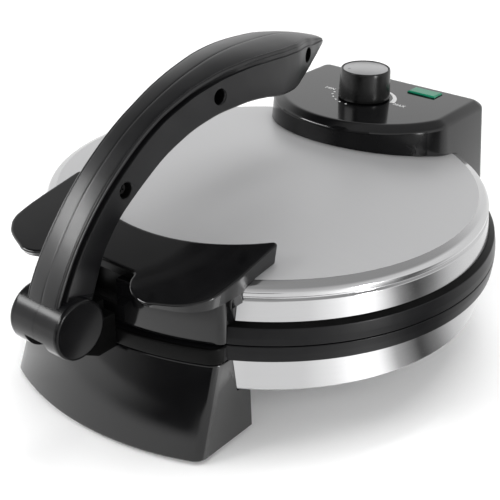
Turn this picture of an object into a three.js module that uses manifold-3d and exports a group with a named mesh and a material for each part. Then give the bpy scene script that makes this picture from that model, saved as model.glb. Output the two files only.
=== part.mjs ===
// Electric roti maker: two hinged round griddles, a split lever over the lid, a thermostat housing at the back.
// Millimetres, +Z up, front towards -Y. Inside the build, heights are counted from the parting line of the
// two rings and plan places from the centre of the cooking plates.
import * as THREE from 'three';
import { mergeVertices } from 'three/addons/utils/BufferGeometryUtils.js';
import Module from 'manifold-3d';

const wasm = await Module();
wasm.setup();

// Clearances, overruns and mesh fineness
const seatGap = 0.3;
const runningGap = 0.3;
const overrun = 6;
const weldTolerance = 1e-4;
const roundSteps = 60;
const barrelSteps = 40;
const smallSteps = 16;
const screwSteps = 10;
const wireSteps = 8;
const leverSteps = 26;
const lobeSteps = 18;
const curveTension = 0.1;
const cornerSteps = 3;
const frontArcSteps = 14;
const crownSteps = 4;

// Rings at the parting line
const ringRadius = 145;
const ringWidth = 17;
const ringEdgeBreak = 0.6;
const partingGap = 0.5;
const lowerRingDrop = 10.5;
const upperRingRise = 11.6;
const ringFlangeThickness = 4;
const ringLipDepth = 5;
const ringLipThickness = 3;
const ringStep = 1.5;
const ringBandOverlap = 0.6;

// Cooking plates, their elements and shields
const plateRingGap = 1;
const plateRadius = ringRadius - ringWidth - plateRingGap;
const plateGap = 2;
const plateThickness = 6;
const plateEdgeRound = 1.5;
const plateBossRadius = 6;
const plateBossHeight = 8;
const plateBossSink = 2;
const plateRimStep = 1;
const elementSet = 39;
const elementRadius = plateRadius - elementSet;
const plateScrewSet = 26;
const plateScrewSpread = elementRadius - plateScrewSet;
const elementTube = 3.4;
const elementSteps = 24;
const elementGapAngle = 30;
const elementTailLength = 9;
const elementTailClearance = 2;
const shieldSet = 15;
const shieldRadius = plateRadius - shieldSet;
const shieldThickness = 0.8;
const shieldRimHeight = 4;
const shieldDrop = 17;
const screwShankRadius = 1.9;
const screwHeadRadius = 3.8;
const screwHeadHeight = 2.4;
const fuseRadius = 3;
const fuseHalfLength = 9;
const fuseReach = 30;
const fuseWireRadius = 1;
const fuseWireHalfLength = 22;
const terminalHalfWidth = 22;
const terminalSet = 41;
const terminalReach = ringRadius - terminalSet;
const terminalHalfDepth = 8;
const terminalHeight = 10;
const terminalHoleRadius = 2.2;
const terminalHoleDepth = 6;
const terminalPitch = 13;

// Lower bowl
const steelThickness = 1;
const bowlSet = 5;
const bowlDraft = 1.6;
const bowlTopRadius = ringRadius - bowlSet;
const bowlBottomRadius = bowlTopRadius - bowlDraft;
const bowlDepth = 33.2;
const bowlBottomRound = 2.4;

// Lid shell
const bandSet = 5.3;
const bandDraft = 1.4;
const bandFootRadius = ringRadius - bandSet;
const bandTopRadius = bandFootRadius - bandDraft;
const grooveDepth = 1.4;
const grooveRadius = bandTopRadius - grooveDepth;
const bandHeight = 13.1;
const grooveHeight = upperRingRise + bandHeight;
const grooveHalfHeight = 1.1;
const beadSet = 0.3;
const beadRadius = bandTopRadius - beadSet;
const beadLift = 2.3;
const beadHeight = grooveHeight + beadLift;
const beadRound = 0.9;
const lidShoulderDrop = 1.5;
const lidShoulderSet = 3.3;
const shoulderWidth = 6.5;
const shoulderRadius = beadRadius - shoulderWidth;
const shoulderLift = 5.6;
const shoulderHeight = beadHeight + shoulderLift;
const crownRise = 9.9;
const crownHeight = shoulderHeight + crownRise;

// Apron, front block and lid grip
const apronOverhang = 6.5;
const apronRadius = ringRadius + apronOverhang;
const blockHalfWidth = 71.7;
const apronNarrowing = 0.2;
const apronHalfWidth = blockHalfWidth - apronNarrowing;
const apronCorner = 8;
const blockSkin = 3;
const blockRadius = ringRadius + blockSkin;
const blockRise = 16.4;
const blockTop = upperRingRise + blockRise;
const blockCorner = 2;
const blockRecessHalfWidth = 13;
const blockRecessDepth = 9;
const blockWall = 2.5;
const gripScrewSide = 45;
const gripScrewBite = 6;
const gripPostRadius = 5;
const gripSetBack = 31;
const gripRearRadius = ringRadius - gripSetBack;
const gripOverlap = 2;
const blockInnerRadius = gripRearRadius + gripOverlap;
const gripTipOverhang = 1.3;
const gripTipHalfWidth = blockHalfWidth + gripTipOverhang;
const gripTipLift = 18.4;
const gripTipHeight = blockTop + gripTipLift;
const gripTipRound = 4;
const gripOverhang = 13;
const gripReach = blockRadius + gripOverhang;
const gripSlopeShare = 0.2;
const gripLobeFlare = 2.5;
const gripLobeHalfWidth = gripTipHalfWidth + gripLobeFlare;
const gripLobeThickness = 6;
const gripNotchHalfWidth = 23.5;
const gripNotchSet = 1;
const gripNotchReach = blockRadius - gripNotchSet;
const gripUndercutSet = 12;
const gripUndercutReach = gripRearRadius + gripUndercutSet;
const gripScrewSet = 5;
const gripScrewReach = blockInnerRadius + gripScrewSet;
const gripSkirtDrop = 6;

// Feet
const standHeight = 65;
const padHeight = 2.5;
const padRadius = 8;
const padBevel = 0.8;
const footWall = 2.6;
const footSeatSet = 1;
const frontFootSplay = 17.5;
const frontFootTopRadius = apronRadius - footSeatSet;
const frontFootBottomRadius = frontFootTopRadius + frontFootSplay;
const footSideSet = 0.5;
const frontFootFlare = 3;
const frontFootTopHalfWidth = apronHalfWidth - footSideSet;
const frontFootBottomHalfWidth = frontFootTopHalfWidth + frontFootFlare;
const frontFootDepth = 38;
const frontFootBack = ringRadius - frontFootDepth;
const frontFootCorner = 5;
const hingeSet = 5;
const hingeReach = ringRadius + hingeSet;
const rearFootFlare = 4;
const rearFootTopHalfWidth = 66;
const rearFootBottomHalfWidth = rearFootTopHalfWidth + rearFootFlare;
const rearFootDepth = 44;
const rearFootFront = hingeReach - rearFootDepth;
const rearFootBackSet = 2;
const rearFootSplay = 6;
const rearFootTopBack = hingeReach + rearFootBackSet;
const rearFootBottomBack = rearFootTopBack + rearFootSplay;
const rearFootCorner = 9;
const postSideSet = 8;
const postDepth = 16;
const padSideSet = 11;
const padBackSet = 10;
const frontPadSide = frontFootTopHalfWidth - padSideSet;
const frontPadReach = ringRadius - padBackSet / 2;
const rearPadSide = rearFootTopHalfWidth - padSideSet;
const rearPadReach = rearFootTopBack - padBackSet;
const footCoverThickness = 2;
const footCoverInset = 2;

// Hinge
const hingeDrop = 5;
const hingeLugRadius = 6.5;
const hingePinRadius = 2.5;
const hingeLugInner = 22;
const hingeLugWidth = 12;
const hingeLugOuter = hingeLugInner + hingeLugWidth;
const hingeKnuckleLength = 10;
const hingePinSet = 1;
const hingeSweepRadius = 13;

// Control housing
const housingRise = 14.5;
const housingTop = crownHeight + housingRise;
const housingCentreSet = 25;
const housingCentre = hingeReach - housingCentreSet;
const housingFrontDepth = 4;
const housingHalfWidth = 68;
const housingFrontRadius = housingHalfWidth + housingFrontDepth;
const housingOverhang = 10;
const housingBack = hingeReach + housingOverhang;
const housingWall = 2.6;
const housingChamfer = 4.5;
const housingChamferDrop = 3;
const housingFootGap = 0.8;
const housingCorner = 9;

// Knob, thermostat and lamp
const knobSet = 16.3;
const knobCentre = housingCentre - knobSet;
const knobTopRadius = 16.7;
const knobBottomRadius = 17.8;
const knobHeight = 20.4;
const knobLift = 0.6;
const knobCapRadius = 15.4;
const knobCapThickness = 1.2;
const knobBevel = 1;
const knobWall = 2.6;
const knobBoreShare = 0.6;
const shaftRadius = 3;
const shaftFlat = 2;
const thermostatRadius = 13;
const thermostatHeight = 11;
const nutRadius = 6.5;
const nutHeight = 2.2;
const thermostatFloor = 3;
const lensWidth = 21.5;
const lensDepth = 11.5;
const lensRise = 1.1;
const lensLeft = 18;
const lensSet = 11.5;
const lensFront = housingCentre + lensSet;
const lampRadius = 2.6;
const lampLength = 12;

// Lever, measured from its pin
const pivotSet = 27;
const pivotReach = apronRadius + pivotSet;
const pivotLift = 0.7;
const pivotHeight = upperRingRise + pivotLift;
const barrelRadius = 16.7;
const barrelHalfLength = 17.8;
const barrelCapThickness = 2;
const barrelCapStub = 3;
const barrelCapStubRadius = 9;
const leverReach = 229;
const leverRise = 113.5;
const leverHalfWidth = 20.7;
const leverCapInset = 1.2;
const leverCapDepth = 2.2;
const leverGrooveInset = 0.5;
const leverGrooveHeight = 2.5;
const leverCrownRadius = 58;
const leverBevel = 1.5;
const leverFullDepth = 16;
const leverSeam = 0.3;
const leverBossRadius = 6.5;
const leverBossHalfWidth = 12.4;
const leverBossSet = 7.5;
const leverBossLift = 1.9;
const leverBossRise = barrelRadius + leverBossLift;
const leverPinRadius = 3;
const slotHalfWidth = 7.5;
const leverSwing = 140;
const tongueTilt = -5;
const tongueClearance = 0.7;
const tongueHalfWidth = 6.8;
const tongueHeight = 10;
const tongueEyeRadius = 8;
const bracketHalfWidth = 14.5;
const bracketDrop = 12;
const bracketRise = 9.5;
const bracketScrewBite = 7;
const leverScrewHoleRadius = 4.8;
const leverScrewHeadRadius = 3.6;
const leverScrewHeadDepth = 6;

// Cord outlet
const glandRadius = 7.5;
const glandReach = 8;
const glandBore = 3.4;
const glandStubWall = 1.5;
const glandHeight = 20;
const glandSide = 38;

const degrees = Math.PI / 180;

// Mesh and boolean helpers

function solidOf(geometry) {
  const bare = geometry.clone();
  bare.deleteAttribute('normal');
  bare.deleteAttribute('uv');
  const merged = mergeVertices(bare, weldTolerance);
  const corners = merged.index.array;
  const kept = [];
  for (let i = 0; i < corners.length; i += 3) {
    const [a, b, c] = corners.slice(i, i + 3);
    if (a !== b && b !== c && c !== a) kept.push(a, b, c);
  }
  const mesh = new wasm.Mesh({
    numProp: 3,
    vertProperties: Float32Array.from(merged.attributes.position.array),
    triVerts: Uint32Array.from(kept),
  });
  return new wasm.Manifold(mesh);
}

function geometryOf(solid) {
  const mesh = solid.getMesh();
  const geometry = new THREE.BufferGeometry();
  geometry.setAttribute('position', new THREE.BufferAttribute(mesh.vertProperties, 3));
  geometry.setIndex(new THREE.BufferAttribute(mesh.triVerts, 1));
  geometry.computeVertexNormals();
  return geometry;
}

function joined(...solids) {
  return solids.reduce((whole, next) => whole.add(next));
}

function less(solid, ...cutters) {
  return cutters.reduce((whole, next) => whole.subtract(next), solid);
}

// Form helpers

function ordered(a, b) {
  return [Math.min(a, b), Math.max(a, b)];
}

function block([x0, x1], [y0, y1], [z0, z1]) {
  const geometry = new THREE.BoxGeometry(x1 - x0, y1 - y0, z1 - z0);
  geometry.translate((x0 + x1) / 2, (y0 + y1) / 2, (z0 + z1) / 2);
  return solidOf(geometry);
}

// A profile of [radius, height] points, turned about the upright axis
function turned(profile, steps = roundSteps) {
  const points = profile.map(([r, z]) => new THREE.Vector2(r, z));
  const closed = points[0].x > 0 || points.at(-1).x > 0;
  if (closed) points.push(points[0].clone());
  if (THREE.ShapeUtils.area(points) < 0) points.reverse();
  const geometry = new THREE.LatheGeometry(points, steps);
  geometry.rotateX(Math.PI / 2);
  return solidOf(geometry);
}

function upright(radius, z0, z1, x = 0, y = 0, steps = smallSteps, topRadius = radius) {
  const geometry = new THREE.CylinderGeometry(topRadius, radius, z1 - z0, steps);
  geometry.rotateX(Math.PI / 2);
  geometry.translate(x, y, (z0 + z1) / 2);
  return solidOf(geometry);
}

function crosswise(radius, x0, x1, y, z, steps = smallSteps) {
  const geometry = new THREE.CylinderGeometry(radius, radius, x1 - x0, steps);
  geometry.rotateZ(-Math.PI / 2);
  geometry.translate((x0 + x1) / 2, y, z);
  return solidOf(geometry);
}

function lengthwise(radius, y0, y1, x, z, steps = smallSteps) {
  const geometry = new THREE.CylinderGeometry(radius, radius, y1 - y0, steps);
  geometry.translate(x, (y0 + y1) / 2, z);
  return solidOf(geometry);
}

// A plan outline, raised from z0 to z1
function raised(points, z0, z1) {
  const geometry = new THREE.ExtrudeGeometry(new THREE.Shape(points), { depth: z1 - z0, bevelEnabled: false });
  geometry.translate(0, 0, z0);
  return solidOf(geometry);
}

// A side outline of [y, z] places, run across from x0 to x1
function acrossFrom(points, x0, x1) {
  const geometry = new THREE.ExtrudeGeometry(new THREE.Shape(points), { depth: x1 - x0, bevelEnabled: false });
  const turn = new THREE.Matrix4().makeBasis(
    new THREE.Vector3(0, 1, 0), new THREE.Vector3(0, 0, 1), new THREE.Vector3(1, 0, 0));
  geometry.applyMatrix4(turn);
  geometry.translate(x0, 0, 0);
  return solidOf(geometry);
}

// A solid between two outlines with as many points each, at two heights
function lofted(lower, upper, z0, z1) {
  const count = lower.length;
  const positions = [];
  for (const [ring, z] of [[lower, z0], [upper, z1]]) for (const p of ring) positions.push(p.x, p.y, z);
  const corners = [];
  for (const [a, b, c] of THREE.ShapeUtils.triangulateShape(lower, [])) {
    corners.push(a, c, b, count + a, count + b, count + c);
  }
  for (let i = 0; i < count; i++) {
    const next = (i + 1) % count;
    corners.push(i, next, count + next, i, count + next, count + i);
  }
  const geometry = new THREE.BufferGeometry();
  geometry.setAttribute('position', new THREE.BufferAttribute(new Float32Array(positions), 3));
  geometry.setIndex(corners);
  return solidOf(geometry);
}

// Rings that run clockwise as seen from the front, joined one behind another and closed at both ends
function swept(rings) {
  const count = rings[0].length;
  const positions = rings.flat().flatMap((p) => p.toArray());
  const corners = [];
  const cap = (ring) => THREE.ShapeUtils.triangulateShape(ring.map((p) => new THREE.Vector2(p.x, p.z)), []);
  for (const [a, b, c] of cap(rings[0])) corners.push(a, b, c);
  const last = (rings.length - 1) * count;
  for (const [a, b, c] of cap(rings.at(-1))) corners.push(last + a, last + c, last + b);
  for (let k = 0; k < last; k += count) {
    for (let i = 0; i < count; i++) {
      const next = (i + 1) % count;
      corners.push(k + i, k + next, k + count + next, k + i, k + count + next, k + count + i);
    }
  }
  const geometry = new THREE.BufferGeometry();
  geometry.setAttribute('position', new THREE.BufferAttribute(new Float32Array(positions), 3));
  geometry.setIndex(corners);
  return solidOf(geometry);
}

function arcPoints(x, y, radius, from, to, steps) {
  return Array.from({ length: steps + 1 }, (_, i) => {
    const angle = from + ((to - from) * i) / steps;
    return new THREE.Vector2(x + radius * Math.cos(angle), y + radius * Math.sin(angle));
  });
}

// A bow-fronted outline: a front arc about the plate centre, straight sides and a straight back at y = -back
function bowFront(radius, half, back, corner) {
  const filletSide = half - corner;
  const filletReach = Math.sqrt((radius - corner) ** 2 - filletSide ** 2);
  const swing = Math.atan2(filletSide, filletReach);
  const front = 1.5 * Math.PI;
  return [
    new THREE.Vector2(half, -back),
    new THREE.Vector2(-half, -back),
    ...arcPoints(-filletSide, -filletReach, corner, Math.PI, front - swing, cornerSteps),
    ...arcPoints(0, 0, radius, front - swing, front + swing, frontArcSteps).slice(1, -1),
    ...arcPoints(filletSide, -filletReach, corner, front + swing, 2 * Math.PI, cornerSteps),
  ];
}

// A rectangle with rounded back corners, from y = front to y = back
function backRounded(half, front, back, corner) {
  return [
    new THREE.Vector2(-half, front),
    new THREE.Vector2(half, front),
    ...arcPoints(half - corner, back - corner, corner, 0, Math.PI / 2, cornerSteps),
    ...arcPoints(corner - half, back - corner, corner, Math.PI / 2, Math.PI, cornerSteps),
  ];
}

const sides = [['left', -1], ['right', 1]];

// Reference solids that several pieces are fitted round

const plateBottom = -plateGap / 2;
const plateTop = plateGap / 2;
const ringInner = plateRadius + plateRingGap;
const ringOuterTopRadius = ringRadius - ringStep;

const bowlOutline = [
  [bowlTopRadius, -lowerRingDrop - seatGap],
  [bowlBottomRadius + 0.15 * bowlBottomRound, -bowlDepth + bowlBottomRound],
  [bowlBottomRadius - 0.3 * bowlBottomRound, -bowlDepth + 0.3 * bowlBottomRound],
  [bowlBottomRadius - bowlBottomRound, -bowlDepth],
];

function bowlRadiusAt(z) {
  const [[topRadius, top], [lowRadius, low]] = bowlOutline;
  return topRadius + ((lowRadius - topRadius) * (z - top)) / (low - top);
}

function bowlEnvelope(clearance) {
  const outline = bowlOutline.map(([r, z]) => [r + clearance, z - clearance]);
  return turned([[0, overrun], [outline[0][0], overrun], ...outline, [0, -bowlDepth - clearance]]);
}

function crownPoints(clearance, steps = crownSteps) {
  const points = [];
  for (let i = steps; i >= 0; i--) {
    const share = i / steps;
    const height = crownHeight - (crownHeight - shoulderHeight) * share ** 2;
    points.push([shoulderRadius * share, height + clearance]);
  }
  return points;
}

const lidOutline = [
  [bandFootRadius, upperRingRise + seatGap],
  [bandTopRadius, grooveHeight - grooveHalfHeight],
  [grooveRadius, grooveHeight],
  [beadRadius, grooveHeight + grooveHalfHeight],
  [beadRadius, beadHeight],
  [beadRadius - beadRound, beadHeight + 2 * beadRound],
  [shoulderRadius + lidShoulderSet, shoulderHeight - lidShoulderDrop],
];

function lidRadiusAt(z) {
  const [[lowRadius, low], [topRadius, top]] = lidOutline;
  return lowRadius + ((topRadius - lowRadius) * (z - low)) / (top - low);
}

function lidEnvelope(clearance, floor = 0) {
  const outline = lidOutline.filter(([, z]) => z !== grooveHeight)
    .map(([r, z]) => [r + clearance, z + clearance]);
  return turned([[0, floor], [outline[0][0], floor], ...outline, ...crownPoints(clearance)]);
}

function ringEnvelope(clearance, z0, z1) {
  return turned([[ringInner - overrun, z0], [ringRadius + clearance, z0], [ringRadius + clearance, z1],
    [ringInner - overrun, z1]]);
}

// The front of the lid that the block and the grip fill instead of the shell
function frontOpening(clearance) {
  return less(
    raised(bowFront(ringRadius + apronRadius, blockHalfWidth + clearance, 0, blockCorner), -overrun,
      crownHeight + overrun),
    upright(blockInnerRadius - clearance, -2 * overrun, crownHeight + 2 * overrun, 0, 0, roundSteps));
}

// Base pieces

function makeLowerShell() {
  const outer = bowlOutline;
  const inner = outer.map(([r, z], i) => [r - steelThickness, i < 1 ? z : z + steelThickness]).reverse();
  return turned([[0, -bowlDepth], ...outer.slice().reverse(), ...inner.slice().reverse(),
    [0, -bowlDepth + steelThickness]]);
}

function makeBaseRing() {
  const lipOuter = bowlRadiusAt(-lowerRingDrop - ringLipDepth) - steelThickness - seatGap;
  const profile = [
    [ringInner, -partingGap], [ringRadius - ringEdgeBreak, -partingGap],
      [ringRadius, -partingGap - ringEdgeBreak],
    [ringRadius - ringEdgeBreak, -lowerRingDrop], [lipOuter, -lowerRingDrop],
    [lipOuter, -lowerRingDrop - ringLipDepth], [lipOuter - ringLipThickness, -lowerRingDrop - ringLipDepth],
    [lipOuter - ringLipThickness, -partingGap - ringFlangeThickness],
      [ringInner, -partingGap - ringFlangeThickness],
  ];
  const apron = less(
    raised(bowFront(apronRadius, apronHalfWidth, 0, apronCorner), -lowerRingDrop, -partingGap),
    upright(ringRadius - ringLipThickness, -lowerRingDrop - overrun, overrun, 0, 0, roundSteps));
  let ring = joined(turned(profile), apron);
  for (const [, side] of sides) {
    const x = side * bracketScrewSide;
    ring = less(ring,
      lengthwise(screwShankRadius + runningGap, -apronRadius - overrun, -ringInner, x, bracketScrewHeight),
      lengthwise(screwHeadRadius + runningGap, -bracketScrewHead, -ringInner + overrun, x, bracketScrewHeight));
  }
  return ring;
}

const bracketScrewSide = 9.5;
const bracketScrewHeight = -lowerRingDrop / 2 - partingGap / 2;
const bracketScrewHead = ringRadius - ringLipThickness;
const bracketScrewReach = apronRadius + bracketScrewBite;

function makePlate(face, away) {
  const rise = (depth) => face + away * depth;
  let plate = turned([
    [0, face], [plateRadius - plateEdgeRound, face], [plateRadius, rise(plateEdgeRound)],
    [plateRadius, rise(plateThickness)], [plateRadius - 2 * plateEdgeRound, rise(plateThickness)],
    [elementRadius + 4 * elementTube, rise(plateThickness)],
      [elementRadius + 4 * elementTube, rise(plateThickness - plateRimStep)],
    [0, rise(plateThickness - plateRimStep)],
  ], barrelSteps);
  for (const [x, y] of plateScrewPlaces) {
    const ends = ordered(rise(plateThickness - plateBossSink), rise(plateThickness + plateBossHeight));
    const bore = ordered(rise(plateThickness), rise(plateThickness + plateBossHeight + overrun));
    plate = joined(plate, upright(plateBossRadius, ...ends, x, y));
    plate = less(plate, upright(screwShankRadius + runningGap, ...bore, x, y, screwSteps));
  }
  return plate;
}

const plateScrewPlaces = [0, 1, 2].map((i) => {
  const angle = 90 * degrees + (i * 2 * Math.PI) / 3;
  return [plateScrewSpread * Math.cos(angle), plateScrewSpread * Math.sin(angle)];
});

const elementTailPlaces = [-1, 1].map((side) => {
  const angle = (side * elementGapAngle * degrees) / 2 - Math.PI / 2;
  return [elementRadius * Math.cos(angle), elementRadius * Math.sin(angle)];
});

function makeShield(face, away) {
  const level = face + away * shieldDrop;
  const rim = level - away * shieldRimHeight;
  let shield = turned([
    [0, level], [shieldRadius, level], [shieldRadius, rim], [shieldRadius - shieldThickness, rim],
    [shieldRadius - shieldThickness, level - away * shieldThickness], [0, level - away * shieldThickness],
  ], barrelSteps);
  for (const [x, y] of elementTailPlaces) {
    shield = less(shield, upright(elementTube + elementTailClearance, level - overrun, level + overrun, x,
      y, smallSteps));
  }
  for (const [x, y] of plateScrewPlaces) {
    shield = less(shield, upright(screwShankRadius + runningGap, level - overrun, level + overrun, x, y,
      screwSteps));
  }
  return shield;
}

// A bar element: most of a circle under the plate, with both ends turned away from it
function makeElement(face, away) {
  const z = face + away * (plateThickness - plateRimStep + elementTube + seatGap);
  const start = (-Math.PI + elementGapAngle * degrees) / 2;
  const sweep = 2 * Math.PI - elementGapAngle * degrees;
  const at = (angle, level) => new THREE.Vector3(
    elementRadius * Math.cos(angle), elementRadius * Math.sin(angle), level);
  const ringPoints = [];
  for (let i = 0; i <= elementSteps; i++) {
    ringPoints.push(at(start + (sweep * i) / elementSteps, z));
  }
  const tail = away * elementTailLength;
  const points = [
    new THREE.Vector3(ringPoints[0].x, ringPoints[0].y, z + tail),
    ...ringPoints,
    new THREE.Vector3(ringPoints.at(-1).x, ringPoints.at(-1).y, z + tail),
  ];
  const section = new THREE.Shape();
  section.absarc(0, 0, elementTube, 0, 2 * Math.PI, false);
  const curve = new THREE.CatmullRomCurve3(points, false, 'catmullrom', curveTension);
  const geometry = new THREE.ExtrudeGeometry(section, {
    steps: points.length, curveSegments: wireSteps / 2, extrudePath: curve });
  return solidOf(geometry);
}

// A screw along Z: its head at headZ, its shank running from there by length (signed)
function makePlateScrew([x, y], face, away) {
  const under = face + away * (shieldDrop + seatGap);
  const tip = face + away * (plateThickness + seatGap);
  const headEnd = under + away * screwHeadHeight;
  const [h0, h1] = ordered(under, headEnd);
  const [s0, s1] = ordered(tip, under + away * 0.5 * screwHeadHeight);
  return joined(upright(screwHeadRadius, h0, h1, x, y), upright(screwShankRadius, s0, s1, x, y, screwSteps));
}

// Front foot

function footFloor() {
  return -standHeight + padHeight;
}

function frontFootLoft(inset, z0, z1) {
  const span = standHeight - padHeight - lowerRingDrop;
  const at = (z) => {
    const share = (-lowerRingDrop - seatGap - z) / span;
    const radius = frontFootTopRadius + (frontFootBottomRadius - frontFootTopRadius) * share;
    const half = frontFootTopHalfWidth + (frontFootBottomHalfWidth - frontFootTopHalfWidth) * share;
    return bowFront(radius - inset, half - inset, frontFootBack + inset, frontFootCorner);
  };
  return lofted(at(z0), at(z1), z0, z1);
}

function makeFrontFoot() {
  const top = -lowerRingDrop - seatGap;
  const outer = frontFootLoft(0, footFloor(), top);
  const inner = less(frontFootLoft(footWall, footFloor() - overrun, top - footWall),
    bowlEnvelope(seatGap + footWall));
  let foot = less(outer, bowlEnvelope(seatGap), inner);
  for (const [, side] of sides) foot = joined(foot, footPost(side * frontPostSide, -frontPostReach));
  for (const [, side] of sides) foot = less(foot, postBore(side * frontPostSide, -frontPostReach));
  return foot;
}

const frontPostSide = frontPadSide - postSideSet;
const frontPostReach = frontFootBack + postDepth;
const rearPostSide = rearPadSide - postSideSet;
const rearPostReach = rearFootFront + postDepth;
const postRadius = 5;

function footPost(x, y) {
  return less(upright(postRadius, footFloor() + footCoverInset + footCoverThickness + seatGap,
    -bowlDepth + overrun, x, y),
    bowlEnvelope(seatGap));
}

function postBore(x, y) {
  return upright(screwShankRadius + runningGap, footFloor(),
    footFloor() + footCoverInset + coverScrewLength + overrun / 2,
    x, y, screwSteps);
}

const coverScrewLength = 14;

function makeFrontFootCover() {
  const z0 = footFloor() + footCoverInset;
  let cover = frontFootLoft(footWall + seatGap, z0, z0 + footCoverThickness);
  for (const [, side] of sides) cover = less(cover, postBore(side * frontPostSide, -frontPostReach));
  return cover;
}

function makeCoverScrew(x, y) {
  const under = footFloor() + footCoverInset - seatGap;
  return joined(
    upright(screwHeadRadius, under - footCoverInset + seatGap * 2, under, x, y),
    upright(screwShankRadius, under - seatGap, under + coverScrewLength, x, y, screwSteps));
}

// Rear foot

function rearFootLoft(inset, z0, z1) {
  const span = standHeight - padHeight - lowerRingDrop;
  const at = (z) => {
    const share = (-lowerRingDrop - seatGap - z) / span;
    const half = rearFootTopHalfWidth + (rearFootBottomHalfWidth - rearFootTopHalfWidth) * share;
    const back = rearFootTopBack + (rearFootBottomBack - rearFootTopBack) * share;
    return backRounded(half - inset, rearFootFront + inset, back - inset, rearFootCorner);
  };
  return lofted(at(z0), at(z1), z0, z1);
}

function hingeCylinder(radius, x0, x1) {
  return crosswise(radius, x0, x1, hingeReach, -hingeDrop);
}

function makeRearFoot() {
  const top = -lowerRingDrop - seatGap;
  const outer = rearFootLoft(0, footFloor(), top);
  const inner = less(rearFootLoft(footWall, footFloor() - overrun, top - hingeSweepRadius + hingeDrop),
    bowlEnvelope(seatGap + footWall));
  const sweep = hingeCylinder(hingeSweepRadius, -rearFootBottomHalfWidth - overrun,
    rearFootBottomHalfWidth + overrun);
  let foot = less(outer, bowlEnvelope(seatGap), inner, sweep);
  for (const [, side] of sides) {
    const [x0, x1] = ordered(side * hingeLugInner, side * hingeLugOuter);
    const root = -hingeDrop - hingeSweepRadius - footWall;
    const web = block([x0, x1], [hingeReach - hingeLugRadius, hingeReach + hingeLugRadius * 0.55],
      [root, -hingeDrop]);
    foot = joined(foot, less(joined(web, hingeCylinder(hingeLugRadius, x0, x1)), bowlEnvelope(seatGap)));
    foot = less(foot, hingeCylinder(hingePinRadius + runningGap, x0 - overrun, x1 + overrun));
    foot = joined(foot, footPost(side * rearPostSide, rearPostReach));
    foot = less(foot, postBore(side * rearPostSide, rearPostReach));
  }
  return less(foot, ringEnvelope(seatGap, -lowerRingDrop - seatGap / 2, overrun),
    lengthwise(glandBore + glandStubWall + 2 * runningGap, rearFootTopBack - 3 * footWall,
      rearFootBottomBack + overrun, glandSide,
      -standHeight + glandHeight));
}

function makeRearFootCover() {
  const z0 = footFloor() + footCoverInset;
  let cover = rearFootLoft(footWall + seatGap, z0, z0 + footCoverThickness);
  for (const [, side] of sides) cover = less(cover, postBore(side * rearPostSide, rearPostReach));
  return cover;
}

function rearFootBackAt(z) {
  const share = (-lowerRingDrop - seatGap - z) / (standHeight - padHeight - lowerRingDrop);
  return rearFootTopBack + (rearFootBottomBack - rearFootTopBack) * share;
}

function makeCordGland() {
  const z = -standHeight + glandHeight;
  const wallBack = rearFootBackAt(z - glandRadius);
  const collar = lengthwise(glandRadius, wallBack + seatGap, wallBack + seatGap + glandReach * 0.4,
    glandSide, z);
  const nose = new THREE.CylinderGeometry(glandRadius * 0.62, glandRadius * 0.85, glandReach * 0.7, smallSteps);
  nose.translate(glandSide, wallBack + seatGap + glandReach * 0.65, z);
  const stub = lengthwise(glandBore + glandStubWall + runningGap, wallBack - 2 * footWall,
    wallBack + glandReach * 0.3, glandSide, z);
  return less(joined(collar, solidOf(nose), stub),
    lengthwise(glandBore, wallBack - 4 * footWall, wallBack + glandReach + overrun, glandSide, z, screwSteps));
}

function makeFootPad() {
  return turned([[0, 0], [padRadius - padBevel, 0], [padRadius, padBevel], [padRadius, padHeight - seatGap],
    [0, padHeight - seatGap]], smallSteps);
}

// Wiring parts inside the bowl

function makeTerminalBlock() {
  const z0 = -bowlDepth + steelThickness + seatGap;
  const z1 = z0 + terminalHeight;
  let body = block([-terminalHalfWidth, terminalHalfWidth],
    [terminalReach - terminalHalfDepth, terminalReach + terminalHalfDepth], [z0, z1]);
  for (let i = -1; i <= 1; i++) {
    body = less(body, upright(terminalHoleRadius, z1 - terminalHoleDepth, z1 + overrun, i * terminalPitch,
      terminalReach,
      screwSteps));
  }
  return body;
}

function makeThermalFuse(face, away) {
  const z = face + away * (plateThickness - plateRimStep + fuseRadius + seatGap);
  return joined(
    crosswise(fuseRadius, -fuseHalfLength, fuseHalfLength, -fuseReach, z, screwSteps),
    crosswise(fuseWireRadius, -fuseWireHalfLength, fuseWireHalfLength, -fuseReach, z, wireSteps));
}

// Lever bracket

const bracketFront = pivotReach - barrelRadius - runningGap;

function sideShape(points) {
  return points.map(([y, z]) => new THREE.Vector2(y, z));
}

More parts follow.
